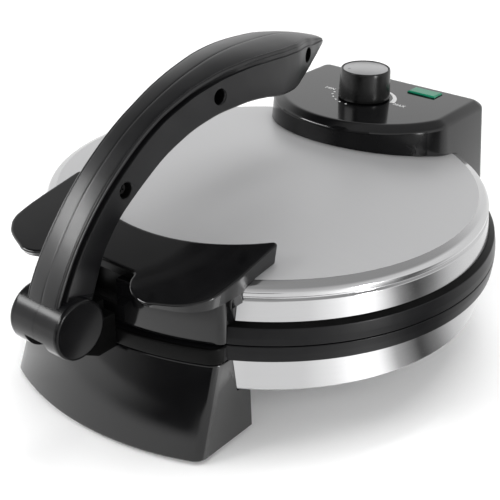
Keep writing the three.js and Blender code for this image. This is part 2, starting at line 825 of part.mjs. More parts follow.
function makeLeverBracket() {
  const body = acrossFrom(sideShape([
    [-apronRadius + overrun, -bracketDrop], [-bracketFront - overrun / 3, -bracketDrop],
    [-pivotReach, pivotHeight - barrelRadius], [-pivotReach, bracketRise],
      [-apronRadius + overrun, bracketRise],
  ]), -bracketHalfWidth, bracketHalfWidth);
  const seat = upright(apronRadius + seatGap, -bracketDrop - overrun, bracketRise + overrun, 0, 0,
    roundSteps * 2);
  const hollow = crosswise(barrelRadius + 2 * runningGap, -barrelHalfLength - overrun,
    barrelHalfLength + overrun,
    -pivotReach, pivotHeight, barrelSteps);
  const forward = block([-barrelHalfLength, barrelHalfLength],
    [-pivotReach - overrun, -pivotReach + barrelRadius * 0.6],
    [-standHeight, pivotHeight]);
  const reach = pivotReach - apronRadius + overrun;
  const arm = acrossFrom([
    aboutPin(tongueTilt, 0, -tongueHeight / 2), aboutPin(tongueTilt, reach, -tongueHeight / 2),
    aboutPin(tongueTilt, reach, tongueHeight / 2), aboutPin(tongueTilt, 0, tongueHeight / 2),
  ], -tongueHalfWidth, tongueHalfWidth);
  const eye = crosswise(tongueEyeRadius, -tongueHalfWidth, tongueHalfWidth, -pivotReach, pivotHeight);
  let bracket = joined(less(body, seat, hollow, forward), less(joined(arm, eye), seat));
  bracket = less(bracket, crosswise(leverPinRadius + runningGap, -barrelHalfLength, barrelHalfLength,
    -pivotReach, pivotHeight));
  for (const [, side] of sides) {
    bracket = less(bracket, lengthwise(screwShankRadius + runningGap, -bracketScrewReach - seatGap,
      -apronRadius + overrun,
      side * bracketScrewSide, bracketScrewHeight, screwSteps));
  }
  return bracket;
}

function makeBracketScrew(side) {
  const x = side * bracketScrewSide;
  return joined(
    lengthwise(screwHeadRadius, -bracketScrewHead + seatGap, -bracketScrewHead + screwHeadHeight, x,
      bracketScrewHeight),
    lengthwise(screwShankRadius, -bracketScrewReach, -bracketScrewHead + screwHeadHeight / 2, x,
      bracketScrewHeight,
      screwSteps));
}

// Lid pieces

function makeLidRing() {
  const lipOuter = lidRadiusAt(upperRingRise + ringLipDepth) - steelThickness - seatGap;
  const profile = [
    [ringInner, 0], [ringRadius - ringEdgeBreak, 0], [ringRadius, ringEdgeBreak],
    [ringOuterTopRadius, upperRingRise - ringStep], [bandFootRadius + ringBandOverlap, upperRingRise],
      [lipOuter, upperRingRise],
    [lipOuter, upperRingRise + ringLipDepth], [lipOuter - ringLipThickness, upperRingRise + ringLipDepth],
    [lipOuter - ringLipThickness, ringFlangeThickness], [ringInner, ringFlangeThickness],
  ];
  return turned(profile);
}

function makeLidShell() {
  const outer = [...lidOutline, ...crownPoints(0)];
  const inner = [
    [bandFootRadius - steelThickness, upperRingRise + seatGap],
    [bandTopRadius - steelThickness, grooveHeight - grooveHalfHeight],
    [grooveRadius - steelThickness, grooveHeight],
    [beadRadius - beadRound - steelThickness, beadHeight + beadRound],
    ...crownPoints(-steelThickness, crownSteps / 2).map(([r, z]) => [Math.max(r - steelThickness / 3, 0), z]),
  ];
  const shell = turned([...outer, ...inner.reverse()]);
  return less(shell, frontOpening(seatGap));
}

function makeFrontBlock() {
  const footprint = raised(bowFront(blockRadius, blockHalfWidth, 0, blockCorner), seatGap, blockTop);
  const core = upright(blockInnerRadius, -overrun, crownHeight, 0, 0, roundSteps);
  const ring = upright(ringRadius + seatGap, -overrun, upperRingRise + seatGap, 0, 0, roundSteps);
  const lip = upright(bandFootRadius, -overrun, blockFloor, 0, 0, roundSteps);
  const recess = block([-blockRecessHalfWidth, blockRecessHalfWidth],
    [-blockRadius - overrun, -blockRadius + blockRecessDepth], [upperRingRise + seatGap, blockTop + overrun]);
  const hollow = less(
    raised(bowFront(ringRadius - blockWall, blockHalfWidth - blockWall, 0, blockCorner), -overrun,
      blockTop - blockWall),
    upright(blockInnerRadius + blockWall, -2 * overrun, crownHeight, 0, 0, roundSteps),
    block([-blockRecessHalfWidth - blockWall, blockRecessHalfWidth + blockWall],
      [-blockRadius - overrun, -blockRadius + blockRecessDepth + blockWall], [-2 * overrun, crownHeight]));
  let body = less(footprint, core, ring, lip, recess, hollow);
  for (const [, side] of sides) {
    const post = upright(gripPostRadius, blockFloor, blockTop - blockWall / 2, side * gripScrewSide,
      -gripScrewReach);
    body = less(joined(body, post), gripScrewBore(side));
  }
  return body;
}

const blockFloor = upperRingRise + ringLipDepth + seatGap;

function gripScrewBore(side) {
  return upright(screwShankRadius + runningGap, blockFloor - overrun, blockTop + gripScrewBite + seatGap,
    side * gripScrewSide, -gripScrewReach, screwSteps);
}

function makeGripScrew(side) {
  const seat = blockFloor - seatGap;
  return joined(
    upright(screwHeadRadius, seat - screwHeadHeight, seat, side * gripScrewSide, -gripScrewReach, screwSteps),
    upright(screwShankRadius, seat - screwHeadHeight / 2, blockTop + gripScrewBite, side * gripScrewSide,
      -gripScrewReach, screwSteps));
}

// Half outlines of the lid grip, as shares of its half width and its reach in front of the rear tip
const gripLobeShares = [[1, 0.36], [0.995, 0.56], [0.965, 0.73], [0.9, 0.86], [0.8, 0.945], [0.68, 0.985],
  [0.6, 1],
  [0.52, 0.99], [0.43, 0.935], [0.36, 0.87]];

function gripShape() {
  const tipAngle = Math.asin(gripTipHalfWidth / gripRearRadius);
  const tipY = -gripRearRadius * Math.cos(tipAngle);
  const depth = gripReach + tipY;
  const swing = tipAngle - gripTipRound / gripRearRadius;
  const lobe = (side) => new THREE.SplineCurve(gripLobeShares.map(
    ([w, d]) => new THREE.Vector2(side * w * gripLobeHalfWidth, tipY - d * depth))).getPoints(lobeSteps);
  const tip = (side) => [
    new THREE.Vector2(side * gripTipHalfWidth, tipY - 0.3 * gripTipRound),
    new THREE.Vector2(side * gripTipHalfWidth, tipY - gripTipRound)];
  const notch = (side) => [
    new THREE.Vector2(side * (gripNotchHalfWidth + 0.1 * gripTipRound), -gripNotchReach - 0.6 * gripTipRound),
    new THREE.Vector2(side * (gripNotchHalfWidth - 0.5 * gripTipRound), -gripNotchReach)];
  return [
    ...arcPoints(0, 0, gripRearRadius, -Math.PI / 2 + swing, -Math.PI / 2 - swing, frontArcSteps),
    ...tip(-1), ...lobe(-1), ...notch(-1),
    ...notch(1).reverse(), ...lobe(1).reverse(), ...tip(1).reverse(),
  ];
}

// The wedge of space above the grip's sloping top, or above a plane that lies lower by drop
function aboveGrip(drop) {
  const tipY = -Math.sqrt(gripRearRadius ** 2 - gripTipHalfWidth ** 2);
  const height = (y) => gripTipHeight - drop + gripSlopeShare * (y - tipY);
  const front = -gripReach - 3 * overrun;
  const back = overrun;
  return acrossFrom(sideShape([[front, height(front)], [back, height(back)], [back, height(back) + crownHeight],
    [front, height(front) + crownHeight]]), -gripLobeHalfWidth - overrun, gripLobeHalfWidth + overrun);
}

function makeLidGrip() {
  const tall = raised(gripShape(), 0, gripTipHeight + overrun);
  const belowLobes = less(
    raised(bowFront(gripReach + overrun, gripLobeHalfWidth + overrun, gripUndercutReach, blockCorner), -overrun,
      gripTipHeight + 2 * overrun),
    raised(bowFront(blockRadius, blockHalfWidth, 0, blockCorner), -2 * overrun, gripTipHeight + 3 * overrun),
    aboveGrip(gripLobeThickness));
  const keptShell = less(lidEnvelope(seatGap), frontOpening(0));
  const underBlock = less(
    raised(bowFront(ringRadius + apronRadius, blockHalfWidth + 2 * seatGap, 0, blockCorner), -overrun,
      blockTop + seatGap));
  let grip = less(tall, aboveGrip(0), belowLobes, underBlock, keptShell,
    block([-gripLobeHalfWidth - overrun, gripLobeHalfWidth + overrun], [-gripUndercutReach, 0],
      [-overrun, blockTop - gripSkirtDrop]));
  for (const [, side] of sides) grip = less(grip, gripScrewBore(side));
  return grip;
}

// Control housing

function housingPoints(inset) {
  const radius = housingFrontRadius - inset;
  const half = housingHalfWidth - inset;
  const swing = Math.asin(half / radius);
  const corner = housingCorner - inset / 2;
  return [
    ...arcPoints(half - corner, housingBack - inset - corner, corner, 0, Math.PI / 2, cornerSteps),
    ...arcPoints(corner - half, housingBack - inset - corner, corner, Math.PI / 2, Math.PI, cornerSteps),
    ...arcPoints(0, housingCentre, radius, -Math.PI / 2 - swing, -Math.PI / 2 + swing, roundSteps / 3),
  ];
}

function makeControlHousing() {
  const bodyTop = housingTop - housingChamferDrop;
  const outer = joined(
    lofted(housingPoints(0), housingPoints(0), housingFootGap, bodyTop),
    lofted(housingPoints(0), housingPoints(housingChamfer), bodyTop, housingTop));
  const inner = lofted(housingPoints(housingWall), housingPoints(housingWall), -overrun,
    housingTop - housingWall);
  const capped = joined(
    less(inner, block([-housingHalfWidth, housingHalfWidth], [0, housingBack],
      [bodyTop - housingWall, housingTop])),
    lofted(housingPoints(housingWall), housingPoints(housingWall + housingChamfer * 0.7), bodyTop - housingWall,
      housingTop - housingWall));
  let housing = less(outer, capped, lidEnvelope(seatGap, -overrun),
    ringEnvelope(seatGap, -overrun, upperRingRise + seatGap));
  const skirtCorner = block([-housingHalfWidth - overrun, housingHalfWidth + overrun],
    [housingCentre - housingFrontRadius - overrun, hingeReach - 3 * hingeLugRadius], [-overrun, upperRingRise]);
  housing = less(housing, skirtCorner);
  const holeFor = shaftRadius + 4 * runningGap;
  housing = less(housing, upright(holeFor, housingTop - 2 * housingWall, housingTop + overrun, 0, knobCentre));
  housing = less(housing, block([lensLeft + lensRise, lensLeft + lensWidth - lensRise],
    [lensFront + lensRise, lensFront + lensDepth - lensRise],
      [housingTop - 2 * housingWall, housingTop + overrun]));
  return housing;
}

function makeLens() {
  const inner = lensRise + seatGap;
  const stem = block([lensLeft + inner, lensLeft + lensWidth - inner],
    [lensFront + inner, lensFront + lensDepth - inner],
    [housingTop - housingWall - lensRise, housingTop + lensRise]);
  const low = [[0, 0], [1, 0], [1, 1], [0, 1]].map(([x, y]) => new THREE.Vector2(lensLeft + x * lensWidth,
    lensFront + y * lensDepth));
  const high = [[0, 0], [1, 0], [1, 1], [0, 1]].map(([x, y]) => new THREE.Vector2(
    lensLeft + lensRise + x * (lensWidth - 2 * lensRise),
      lensFront + lensRise + y * (lensDepth - 2 * lensRise)));
  return joined(stem, lofted(low, high, housingTop + seatGap, housingTop + seatGap + lensRise));
}

function makeLamp() {
  const z = housingTop - housingWall - 2 * lensRise - lampRadius - seatGap;
  const x0 = lensLeft + (lensWidth - lampLength) / 2;
  return crosswise(lampRadius, x0, x0 + lampLength, lensFront + lensDepth / 2, z, screwSteps);
}

function makeHingeBlock() {
  const half = hingeLugOuter + seatGap + hingeKnuckleLength;
  const front = Math.sqrt((ringRadius + seatGap) ** 2 - half ** 2);
  const bar = block([-half, half], [front, housingBack - housingWall - seatGap],
    [housingFootGap, upperRingRise + overrun]);
  let body = less(bar, ringEnvelope(seatGap, -overrun, upperRingRise + seatGap),
    lidEnvelope(seatGap, -overrun));
  const lugClear = hingeLugRadius + 2 * runningGap;
  for (const [, side] of sides) {
    const [x0, x1] = ordered(side * (hingeLugOuter + seatGap), side * half);
    const knuckle = joined(
      hingeCylinder(hingeLugRadius, x0, x1),
      block([x0, x1], [hingeReach - hingeLugRadius, hingeReach + hingeLugRadius],
        [-hingeDrop, 2 * housingFootGap]));
    body = joined(body, less(knuckle, ringEnvelope(seatGap, -standHeight, upperRingRise + seatGap)));
  }
  body = less(body, hingeCylinder(lugClear, -hingeLugOuter - seatGap / 2, hingeLugOuter + seatGap / 2));
  for (const [, side] of sides) {
    const [x0, x1] = ordered(side * hingeLugInner, side * (half + overrun));
    body = less(body, hingeCylinder(hingePinRadius + runningGap, x0, x1));
  }
  return body;
}

function makeHingePin(side) {
  const [x0, x1] = ordered(side * (hingeLugInner + hingePinSet),
    side * (hingeLugOuter + seatGap + hingeKnuckleLength - hingePinSet));
  return hingeCylinder(hingePinRadius, x0, x1);
}

// Thermostat and knob

const thermostatTop = housingTop - housingWall - seatGap;

function makeThermostat() {
  const body = upright(thermostatRadius, thermostatTop - thermostatHeight, thermostatTop - nutHeight, 0,
    knobCentre);
  const neck = upright(nutRadius, thermostatTop - 2 * nutHeight, thermostatTop, 0, knobCentre);
  return less(joined(body, neck), upright(shaftRadius + runningGap,
    thermostatTop - thermostatHeight + thermostatFloor,
    thermostatTop + overrun, 0, knobCentre));
}

function makeShaft() {
  const z0 = thermostatTop - thermostatHeight + thermostatFloor + seatGap;
  const z1 = housingTop + knobLift + knobHeight * knobBoreShare;
  const rod = upright(shaftRadius, z0, z1, 0, knobCentre);
  return less(rod, block([-shaftRadius - overrun, shaftRadius + overrun],
    [knobCentre + shaftFlat, knobCentre + 2 * shaftRadius],
    [housingTop + knobLift - seatGap, z1 + overrun]));
}

function makeKnob() {
  const z0 = housingTop + knobLift;
  const z1 = z0 + knobHeight;
  const body = turned([
    [0, z0], [knobBottomRadius, z0], [knobBottomRadius, z0 + knobBevel], [knobTopRadius, z1 - knobBevel],
    [knobTopRadius - knobBevel, z1], [knobCapRadius + seatGap, z1],
      [knobCapRadius + seatGap, z1 - knobCapThickness],
    [0, z1 - knobCapThickness],
  ], barrelSteps);
  const bore = less(
    upright(shaftRadius + seatGap, z0 - overrun, z0 + knobHeight * knobBoreShare + seatGap, 0, 0),
    block([-shaftRadius - overrun, shaftRadius + overrun], [shaftFlat + seatGap, 2 * shaftRadius], [z0, z1]));
  const ceiling = z1 - knobCapThickness - knobWall;
  const hollow = turned([[shaftRadius + knobWall, z0 - overrun], [knobTopRadius - knobWall, z0 - overrun],
    [knobTopRadius - knobWall, ceiling], [shaftRadius + knobWall, ceiling]], smallSteps);
  return less(body, bore, hollow).translate([0, knobCentre, 0]);
}

function makeKnobCap() {
  const z1 = housingTop + knobLift + knobHeight;
  return upright(knobCapRadius, z1 - knobCapThickness + seatGap, z1, 0, knobCentre, barrelSteps);
}

// Lever: the crest's and the keel's run about the pin, as shares of the lever's reach and rise
const leverCrestShares = [[-0.046, 0.1], [-0.019, 0.226], [0.004, 0.303], [0.029, 0.378], [0.057, 0.449],
  [0.087, 0.517],
  [0.137, 0.612], [0.21, 0.726], [0.314, 0.845], [0.428, 0.93], [0.549, 0.984], [0.618, 0.998], [0.693, 1],
    [0.751, 0.996],
  [0.821, 0.979], [0.908, 0.939], [0.961, 0.902], [1, 0.866]];
const leverKeelShares = [[0.06, 0.05], [0.079, 0.135], [0.109, 0.272], [0.133, 0.343], [0.173, 0.43],
  [0.224, 0.505],
  [0.292, 0.592], [0.354, 0.659], [0.424, 0.712], [0.494, 0.742], [0.564, 0.755], [0.616, 0.756],
    [0.681, 0.747],
  [0.73, 0.75], [0.782, 0.765], [0.83, 0.784], [0.886, 0.803], [0.936, 0.83], [0.999, 0.859]];
// Half widths along the lever, as shares of the reach and of the widest half width
const leverWidthShares = [[-0.12, 0.61], [0.04, 0.6], [0.22, 0.6], [0.31, 0.612], [0.39, 0.681], [0.48, 0.773],
  [0.57, 0.894], [0.655, 0.981], [0.72, 1], [0.786, 0.95], [0.873, 0.66], [0.939, 0.425], [1, 0.12]];

function leverRun(shares) {
  const place = ([y, z]) => new THREE.Vector2(y * leverReach - pivotReach, z * leverRise + pivotHeight);
  return new THREE.SplineCurve(shares.map(place)).getSpacedPoints(leverSteps);
}

function leverHalfWidthAt(y) {
  const share = (y + pivotReach) / leverReach;
  const next = Math.max(leverWidthShares.findIndex(([along]) => along >= share), 1);
  const [[y0, w0], [y1, w1]] = [leverWidthShares[next - 1], leverWidthShares[next]];
  return leverHalfWidth * (w0 + ((w1 - w0) * (share - y0)) / (y1 - y0));
}

function crownDrop(across) {
  return leverCrownRadius - Math.sqrt(leverCrownRadius ** 2 - across ** 2);
}

// One half's section, from the seam over the crowned cap, its groove and the side to the keel
function leverSection(crest, keel, side) {
  const down = keel.clone().sub(crest);
  const depth = down.length();
  const fit = Math.min(1, depth / leverFullDepth);
  const [capHalf, bodyHalf, keelHalf] = [leverHalfWidthAt(crest.x) - leverCapInset,
    leverHalfWidthAt(crest.x), leverHalfWidthAt(keel.x)];
  const shoulder = crownDrop(capHalf);
  const capFoot = shoulder + leverCapDepth * fit;
  const ledge = capFoot + leverGrooveHeight * fit;
  const outline = [
    [leverSeam / 2, 0], [capHalf * 0.4, crownDrop(capHalf * 0.4)], [capHalf * 0.75, crownDrop(capHalf * 0.75)],
    [capHalf, shoulder], [capHalf, capFoot], [capHalf - leverGrooveInset, capFoot],
      [capHalf - leverGrooveInset, ledge],
    [bodyHalf, ledge], [keelHalf, depth - leverBevel * fit], [keelHalf - leverBevel * fit * 0.8, depth],
      [leverSeam / 2, depth],
  ];
  const ring = outline.map(([x, d]) => {
    const place = crest.clone().addScaledVector(down, d / depth);
    return new THREE.Vector3(side * x, place.x, place.y);
  });
  return side > 0 ? ring : ring.reverse();
}

// A place at a distance from the pin along an angle, and beside that line by an offset
function aboutPin(angle, reach, offset) {
  const [along, up] = [Math.cos(angle * degrees), Math.sin(angle * degrees)];
  return new THREE.Vector2(-pivotReach + reach * along - offset * up,
    pivotHeight + reach * up + offset * along);
}

// The room that the tongue needs in the barrel over the whole swing
function slotSector(x0, x1) {
  const reach = barrelRadius + overrun;
  const half = tongueHeight / 2 + tongueClearance;
  const steps = smallSteps;
  const points = [aboutPin(tongueTilt, 0, half), aboutPin(tongueTilt, reach, half)];
  for (let i = 1; i < steps; i++) points.push(aboutPin(tongueTilt - (leverSwing * i) / steps, reach, 0));
  points.push(aboutPin(tongueTilt - leverSwing, reach, -half), aboutPin(tongueTilt - leverSwing, 0, -half));
  return acrossFrom(points, x0, x1);
}

const leverScrewShares = [[0.185, 0.551], [0.494, 0.838], [0.866, 0.864]];

function leverScrewPlace([y, z]) {
  return [y * leverReach - pivotReach, z * leverRise + pivotHeight];
}

function makeLeverHalf(side) {
  const across = (inner, outer) => ordered(side * inner, side * outer);
  const seam = leverSeam / 2;
  const barrelEnd = barrelHalfLength - barrelCapThickness - seatGap;
  const keel = leverRun(leverKeelShares);
  const arm = swept(leverRun(leverCrestShares).map((crest, i) => leverSection(crest, keel[i], side)));
  const barrel = crosswise(barrelRadius, ...across(seam, barrelEnd), -pivotReach, pivotHeight, barrelSteps);
  const boss = crosswise(leverBossRadius, ...across(seam, leverBossHalfWidth), -pivotReach + leverBossSet,
    pivotHeight + leverBossRise, smallSteps);
  let half = joined(arm, barrel, boss);
  half = less(half,
    slotSector(...across(-overrun, slotHalfWidth)),
    crosswise(tongueEyeRadius + 2 * runningGap, ...across(-overrun, slotHalfWidth), -pivotReach, pivotHeight),
    crosswise(leverPinRadius + runningGap, ...across(-overrun,
      barrelHalfLength - barrelCapThickness - barrelCapStub),
      -pivotReach, pivotHeight),
    crosswise(barrelCapStubRadius + seatGap, ...across(barrelEnd - barrelCapStub, barrelHalfLength + overrun),
      -pivotReach, pivotHeight));
  for (const share of leverScrewShares) {
    const [y, z] = leverScrewPlace(share);
    if (side > 0) half = less(half, crosswise(leverScrewHoleRadius, leverScrewHeadDepth,
      leverHalfWidth + overrun, y, z));
    half = less(half, crosswise(screwShankRadius + runningGap,
      ...(side > 0 ? [-overrun, leverHalfWidth] : [-leverScrewDeep, overrun]),
      y, z, screwSteps));
  }
  return half;
}

const leverScrewDeep = 8;

function makeLeverScrew(share) {
  const [y, z] = leverScrewPlace(share);
  return joined(
    crosswise(leverScrewHeadRadius, leverScrewHeadDepth + seatGap,
      leverScrewHeadDepth + seatGap + screwHeadHeight, y, z),
    crosswise(screwShankRadius, -leverScrewDeep + seatGap, leverScrewHeadDepth + screwHeadHeight / 2, y, z,
      screwSteps));
}

function makeBarrelCap(side) {
  const across = (inner, outer) => ordered(side * inner, side * outer);
  const inner = barrelHalfLength - barrelCapThickness;
  return joined(
    crosswise(barrelRadius, ...across(inner, barrelHalfLength), -pivotReach, pivotHeight, barrelSteps),
    crosswise(barrelCapStubRadius, ...across(inner - barrelCapStub, inner + seatGap), -pivotReach,
      pivotHeight));
}

function makeLeverPin() {
  const half = barrelHalfLength - barrelCapThickness - barrelCapStub - 2 * seatGap;
  return crosswise(leverPinRadius, -half, half, -pivotReach, pivotHeight);
}

// Materials

const finishes = {
  steelSatin: { color: 0xb4b4b6, roughness: 0.32, metalness: 1 },
  steelBright: { color: 0xc9c9cb, roughness: 0.15, metalness: 1 },
  glossBlack: { color: 0x0b0b0c, roughness: 0.16, metalness: 0 },
  satinBlack: { color: 0x111112, roughness: 0.42, metalness: 0 },
  nonStick: { color: 0x1c1c1e, roughness: 0.5, metalness: 0.3 },
  element: { color: 0x5a544c, roughness: 0.55, metalness: 0.8 },
  zinc: { color: 0x9a9a98, roughness: 0.4, metalness: 1 },
  rubber: { color: 0x17171a, roughness: 0.9, metalness: 0 },
  ceramic: { color: 0xe8e2d4, roughness: 0.6, metalness: 0 },
  capGrey: { color: 0x8d8d8f, roughness: 0.35, metalness: 0.6 },
  greenLens: { color: 0x0c6b45, roughness: 0.12, metalness: 0 },
  amberLamp: { color: 0xd9793a, roughness: 0.2, metalness: 0 },
};

function finish(name) {
  return new THREE.MeshStandardMaterial(finishes[name]);
}

// Assembly

const frontReach = pivotReach + barrelRadius;
const rearReach = Math.max(housingBack,
  rearFootBackAt(-standHeight + glandHeight - glandRadius) + seatGap + glandReach);
const centreShift = (frontReach - rearReach) / 2;

const group = new THREE.Group();
group.position.set(0, centreShift, standHeight);

function place(name, solid, look) {
  const mesh = new THREE.Mesh(geometryOf(solid), finish(look));
  mesh.name = name;
  group.add(mesh);
  return mesh;
}

place('lower_shell', makeLowerShell(), 'steelBright');
place('base_ring', makeBaseRing(), 'satinBlack');
place('lower_plate', makePlate(plateBottom, -1), 'nonStick');
place('lower_element', makeElement(plateBottom, -1), 'element');
place('lower_heat_shield', makeShield(plateBottom, -1), 'zinc');
place('lower_thermal_fuse', makeThermalFuse(plateBottom, -1), 'ceramic');
place('terminal_block', makeTerminalBlock(), 'ceramic');
place('front_foot', makeFrontFoot(), 'glossBlack');
place('front_foot_cover', makeFrontFootCover(), 'satinBlack');
place('rear_foot', makeRearFoot(), 'glossBlack');
place('rear_foot_cover', makeRearFootCover(), 'satinBlack');
place('cord_gland', makeCordGland(), 'rubber');
place('lever_bracket', makeLeverBracket(), 'glossBlack');
place('lever_pin', makeLeverPin(), 'zinc');

place('upper_plate', makePlate(plateTop, 1), 'nonStick');
place('upper_element', makeElement(plateTop, 1), 'element');
place('upper_heat_shield', makeShield(plateTop, 1), 'zinc');
place('upper_thermal_fuse', makeThermalFuse(plateTop, 1), 'ceramic');
place('lid_ring', makeLidRing(), 'satinBlack');
place('lid_shell', makeLidShell(), 'steelSatin');
place('lid_front_block', makeFrontBlock(), 'glossBlack');
place('lid_grip', makeLidGrip(), 'glossBlack');
place('lid_hinge_block', makeHingeBlock(), 'satinBlack');
place('control_housing', makeControlHousing(), 'glossBlack');
place('indicator_lens', makeLens(), 'greenLens');
place('indicator_lamp', makeLamp(), 'amberLamp');
place('thermostat_body', makeThermostat(), 'zinc');
place('thermostat_shaft', makeShaft(), 'zinc');
place('knob', makeKnob(), 'glossBlack');
place('knob_cap', makeKnobCap(), 'capGrey');

for (const [name, side] of sides) {
  const padPlaces = { front: [side * frontPadSide, -frontPadReach], rear: [side * rearPadSide, rearPadReach] };
  for (const [end, [x, y]] of Object.entries(padPlaces)) {
    const pad = place(`foot_pad_${end}_${name}`, makeFootPad(), 'rubber');
    pad.position.set(x, y, -standHeight);
  }
  place(`bracket_screw_${name}`, makeBracketScrew(side), 'zinc');
  place(`hinge_pin_${name}`, makeHingePin(side), 'zinc');
  place(`grip_screw_${name}`, makeGripScrew(side), 'zinc');
  place(`lever_half_${name}`, makeLeverHalf(side), 'satinBlack');
  place(`barrel_cap_${name}`, makeBarrelCap(side), 'glossBlack');
  place(`front_cover_screw_${name}`, makeCoverScrew(side * frontPostSide, -frontPostReach), 'zinc');
  place(`rear_cover_screw_${name}`, makeCoverScrew(side * rearPostSide, rearPostReach), 'zinc');
}

plateScrewPlaces.forEach((spot, i) => {
  place(`lower_plate_screw_${i + 1}`, makePlateScrew(spot, plateBottom, -1), 'zinc');
  place(`upper_plate_screw_${i + 1}`, makePlateScrew(spot, plateTop, 1), 'zinc');
});

leverScrewShares.forEach((share, i) => {
  place(`lever_screw_${i + 1}`, makeLeverScrew(share), 'zinc');
});

export default group;
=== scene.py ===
# Electric roti maker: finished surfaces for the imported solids.
import math

import bmesh
import bpy
from mathutils import Matrix, Vector


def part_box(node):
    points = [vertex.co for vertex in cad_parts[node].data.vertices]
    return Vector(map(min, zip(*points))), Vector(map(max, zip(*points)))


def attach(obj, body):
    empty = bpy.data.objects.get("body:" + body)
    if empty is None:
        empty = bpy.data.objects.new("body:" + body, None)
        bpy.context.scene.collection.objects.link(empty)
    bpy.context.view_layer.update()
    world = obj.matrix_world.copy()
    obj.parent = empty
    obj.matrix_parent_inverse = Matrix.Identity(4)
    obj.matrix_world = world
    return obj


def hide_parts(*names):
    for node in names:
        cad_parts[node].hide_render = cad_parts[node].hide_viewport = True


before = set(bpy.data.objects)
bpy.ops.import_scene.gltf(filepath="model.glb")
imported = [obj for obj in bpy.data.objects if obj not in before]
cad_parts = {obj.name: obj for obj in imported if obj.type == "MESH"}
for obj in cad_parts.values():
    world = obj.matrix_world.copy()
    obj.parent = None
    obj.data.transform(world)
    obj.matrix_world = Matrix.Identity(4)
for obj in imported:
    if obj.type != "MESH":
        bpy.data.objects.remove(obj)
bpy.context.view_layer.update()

# Places: millimetres about the cooking plates' centre, with heights from the line between the rings
MM = 0.001
PLATE_LOW, PLATE_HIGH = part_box("lower_plate")
CENTRE_Y = (PLATE_LOW.y + PLATE_HIGH.y) / 2
SEAM_Z = 0.065


def to_frame(x, y, z):
    return Vector((x * MM, y * MM + CENTRE_Y, z * MM + SEAM_Z))


# Outlines

def around(radius, degrees, centre=(0, 0)):
    """The place at a radius and an angle about a centre."""
    angle = math.radians(degrees)
    return centre[0] + radius * math.cos(angle), centre[1] + radius * math.sin(angle)


def arc(cx, cy, radius, start, end, steps):
    """Points of an arc, with its angles in degrees."""
    return [around(radius, start + (end - start) * i / steps, (cx, cy)) for i in range(steps + 1)]


def oblong(x0, y0, x1, y1):
    return [(x0, y0), (x1, y0), (x1, y1), (x0, y1)]


def spline(points, steps):
    """A smooth run of points through given places."""
    out = []
    last = len(points) - 1
    for i in range(last):
        p0 = Vector(points[max(i - 1, 0)])
        p1 = Vector(points[i])
        p2 = Vector(points[i + 1])
        p3 = Vector(points[min(i + 2, last)])
        for k in range(steps):
            t = k / steps
            a = 2 * p1 + (p2 - p0) * t
            b = (2 * p0 - 5 * p1 + 4 * p2 - p3) * t * t
            c = (3 * p1 - p0 - 3 * p2 + p3) * t * t * t
            out.append(tuple((a + b + c) / 2))
    out.append(tuple(points[-1]))
    return out


def evened(points, count):
    """The same run, cut into equal lengths."""
    ends = [Vector(p) for p in points]
    lengths = [0.0]
    for a, b in zip(ends, ends[1:]):
        lengths.append(lengths[-1] + (b - a).length)
    out = []
    k = 0
    for i in range(count + 1):
        want = lengths[-1] * i / count
        while k < len(ends) - 2 and lengths[k + 1] < want:
            k += 1
        span = lengths[k + 1] - lengths[k]
        share = (want - lengths[k]) / span if span else 0
        out.append(ends[k].lerp(ends[k + 1], share))
    return out


def softened(points, radius, steps=5, closed=True):
    """Rounds the corners of an outline. A third number in a point is that corner's own radius."""
    out = []
    count = len(points)
    for i, point in enumerate(points):
        here = Vector(point[:2])
        r = point[2] if len(point) > 2 else radius
        if r <= 0 or (not closed and i in (0, count - 1)):
            out.append(tuple(here))
            continue
        a = Vector(points[i - 1][:2]) - here
        b = Vector(points[(i + 1) % count][:2]) - here
        la, lb = a.length, b.length
        a.normalize()
        b.normalize()
        angle = a.angle(b)
        reach = min(r / math.tan(angle / 2), la * 0.48, lb * 0.48) if angle < math.pi - 0.02 else 0
        if reach < 1e-4:
            out.append(tuple(here))
            continue
        start, end = here + a * reach, here + b * reach
        for k in range(steps + 1):
            t = k / steps
            out.append(tuple(start.lerp(here, t).lerp(here.lerp(end, t), t)))
    return out


def inset(outline, distance):
    """An outline moved inwards along its corner normals. The outline runs anticlockwise."""
    count = len(outline)
    out = []
    for i in range(count):
        before, here, after = (Vector(outline[(i + k) % count]) for k in (-1, 0, 1))
        a = here - before
        b = after - here
        na = Vector((-a.y, a.x)).normalized() if a.length else Vector((0, 0))
        nb = Vector((-b.y, b.x)).normalized() if b.length else Vector((0, 0))
        n = na + nb
        if n.length < 1e-6:
            n = na
        n.normalize()
        stretch = 1 / max(n.dot(nb), 0.5)
        out.append(tuple(here + n * distance * stretch))
    return out


def bow_front(radius, half, back, corner, steps=28):
    """A front arc about the plate centre with straight sides, anticlockwise."""
    side = half - corner
    reach = math.sqrt((radius - corner) ** 2 - side ** 2)
    swing = math.degrees(math.atan2(side, reach))
    points = [(half, -back), (-half, -back)]
    points += arc(-side, -reach, corner, 180, 270 - swing, 6)
    points += arc(0, 0, radius, 270 - swing, 270 + swing, steps)[1:-1]
    points += arc(side, -reach, corner, 270 + swing, 360, 6)
    return points


# Meshes

TURN_STEPS = 192
MERGE_REACH = 2e-6
FLAT_SHARE = 1.6


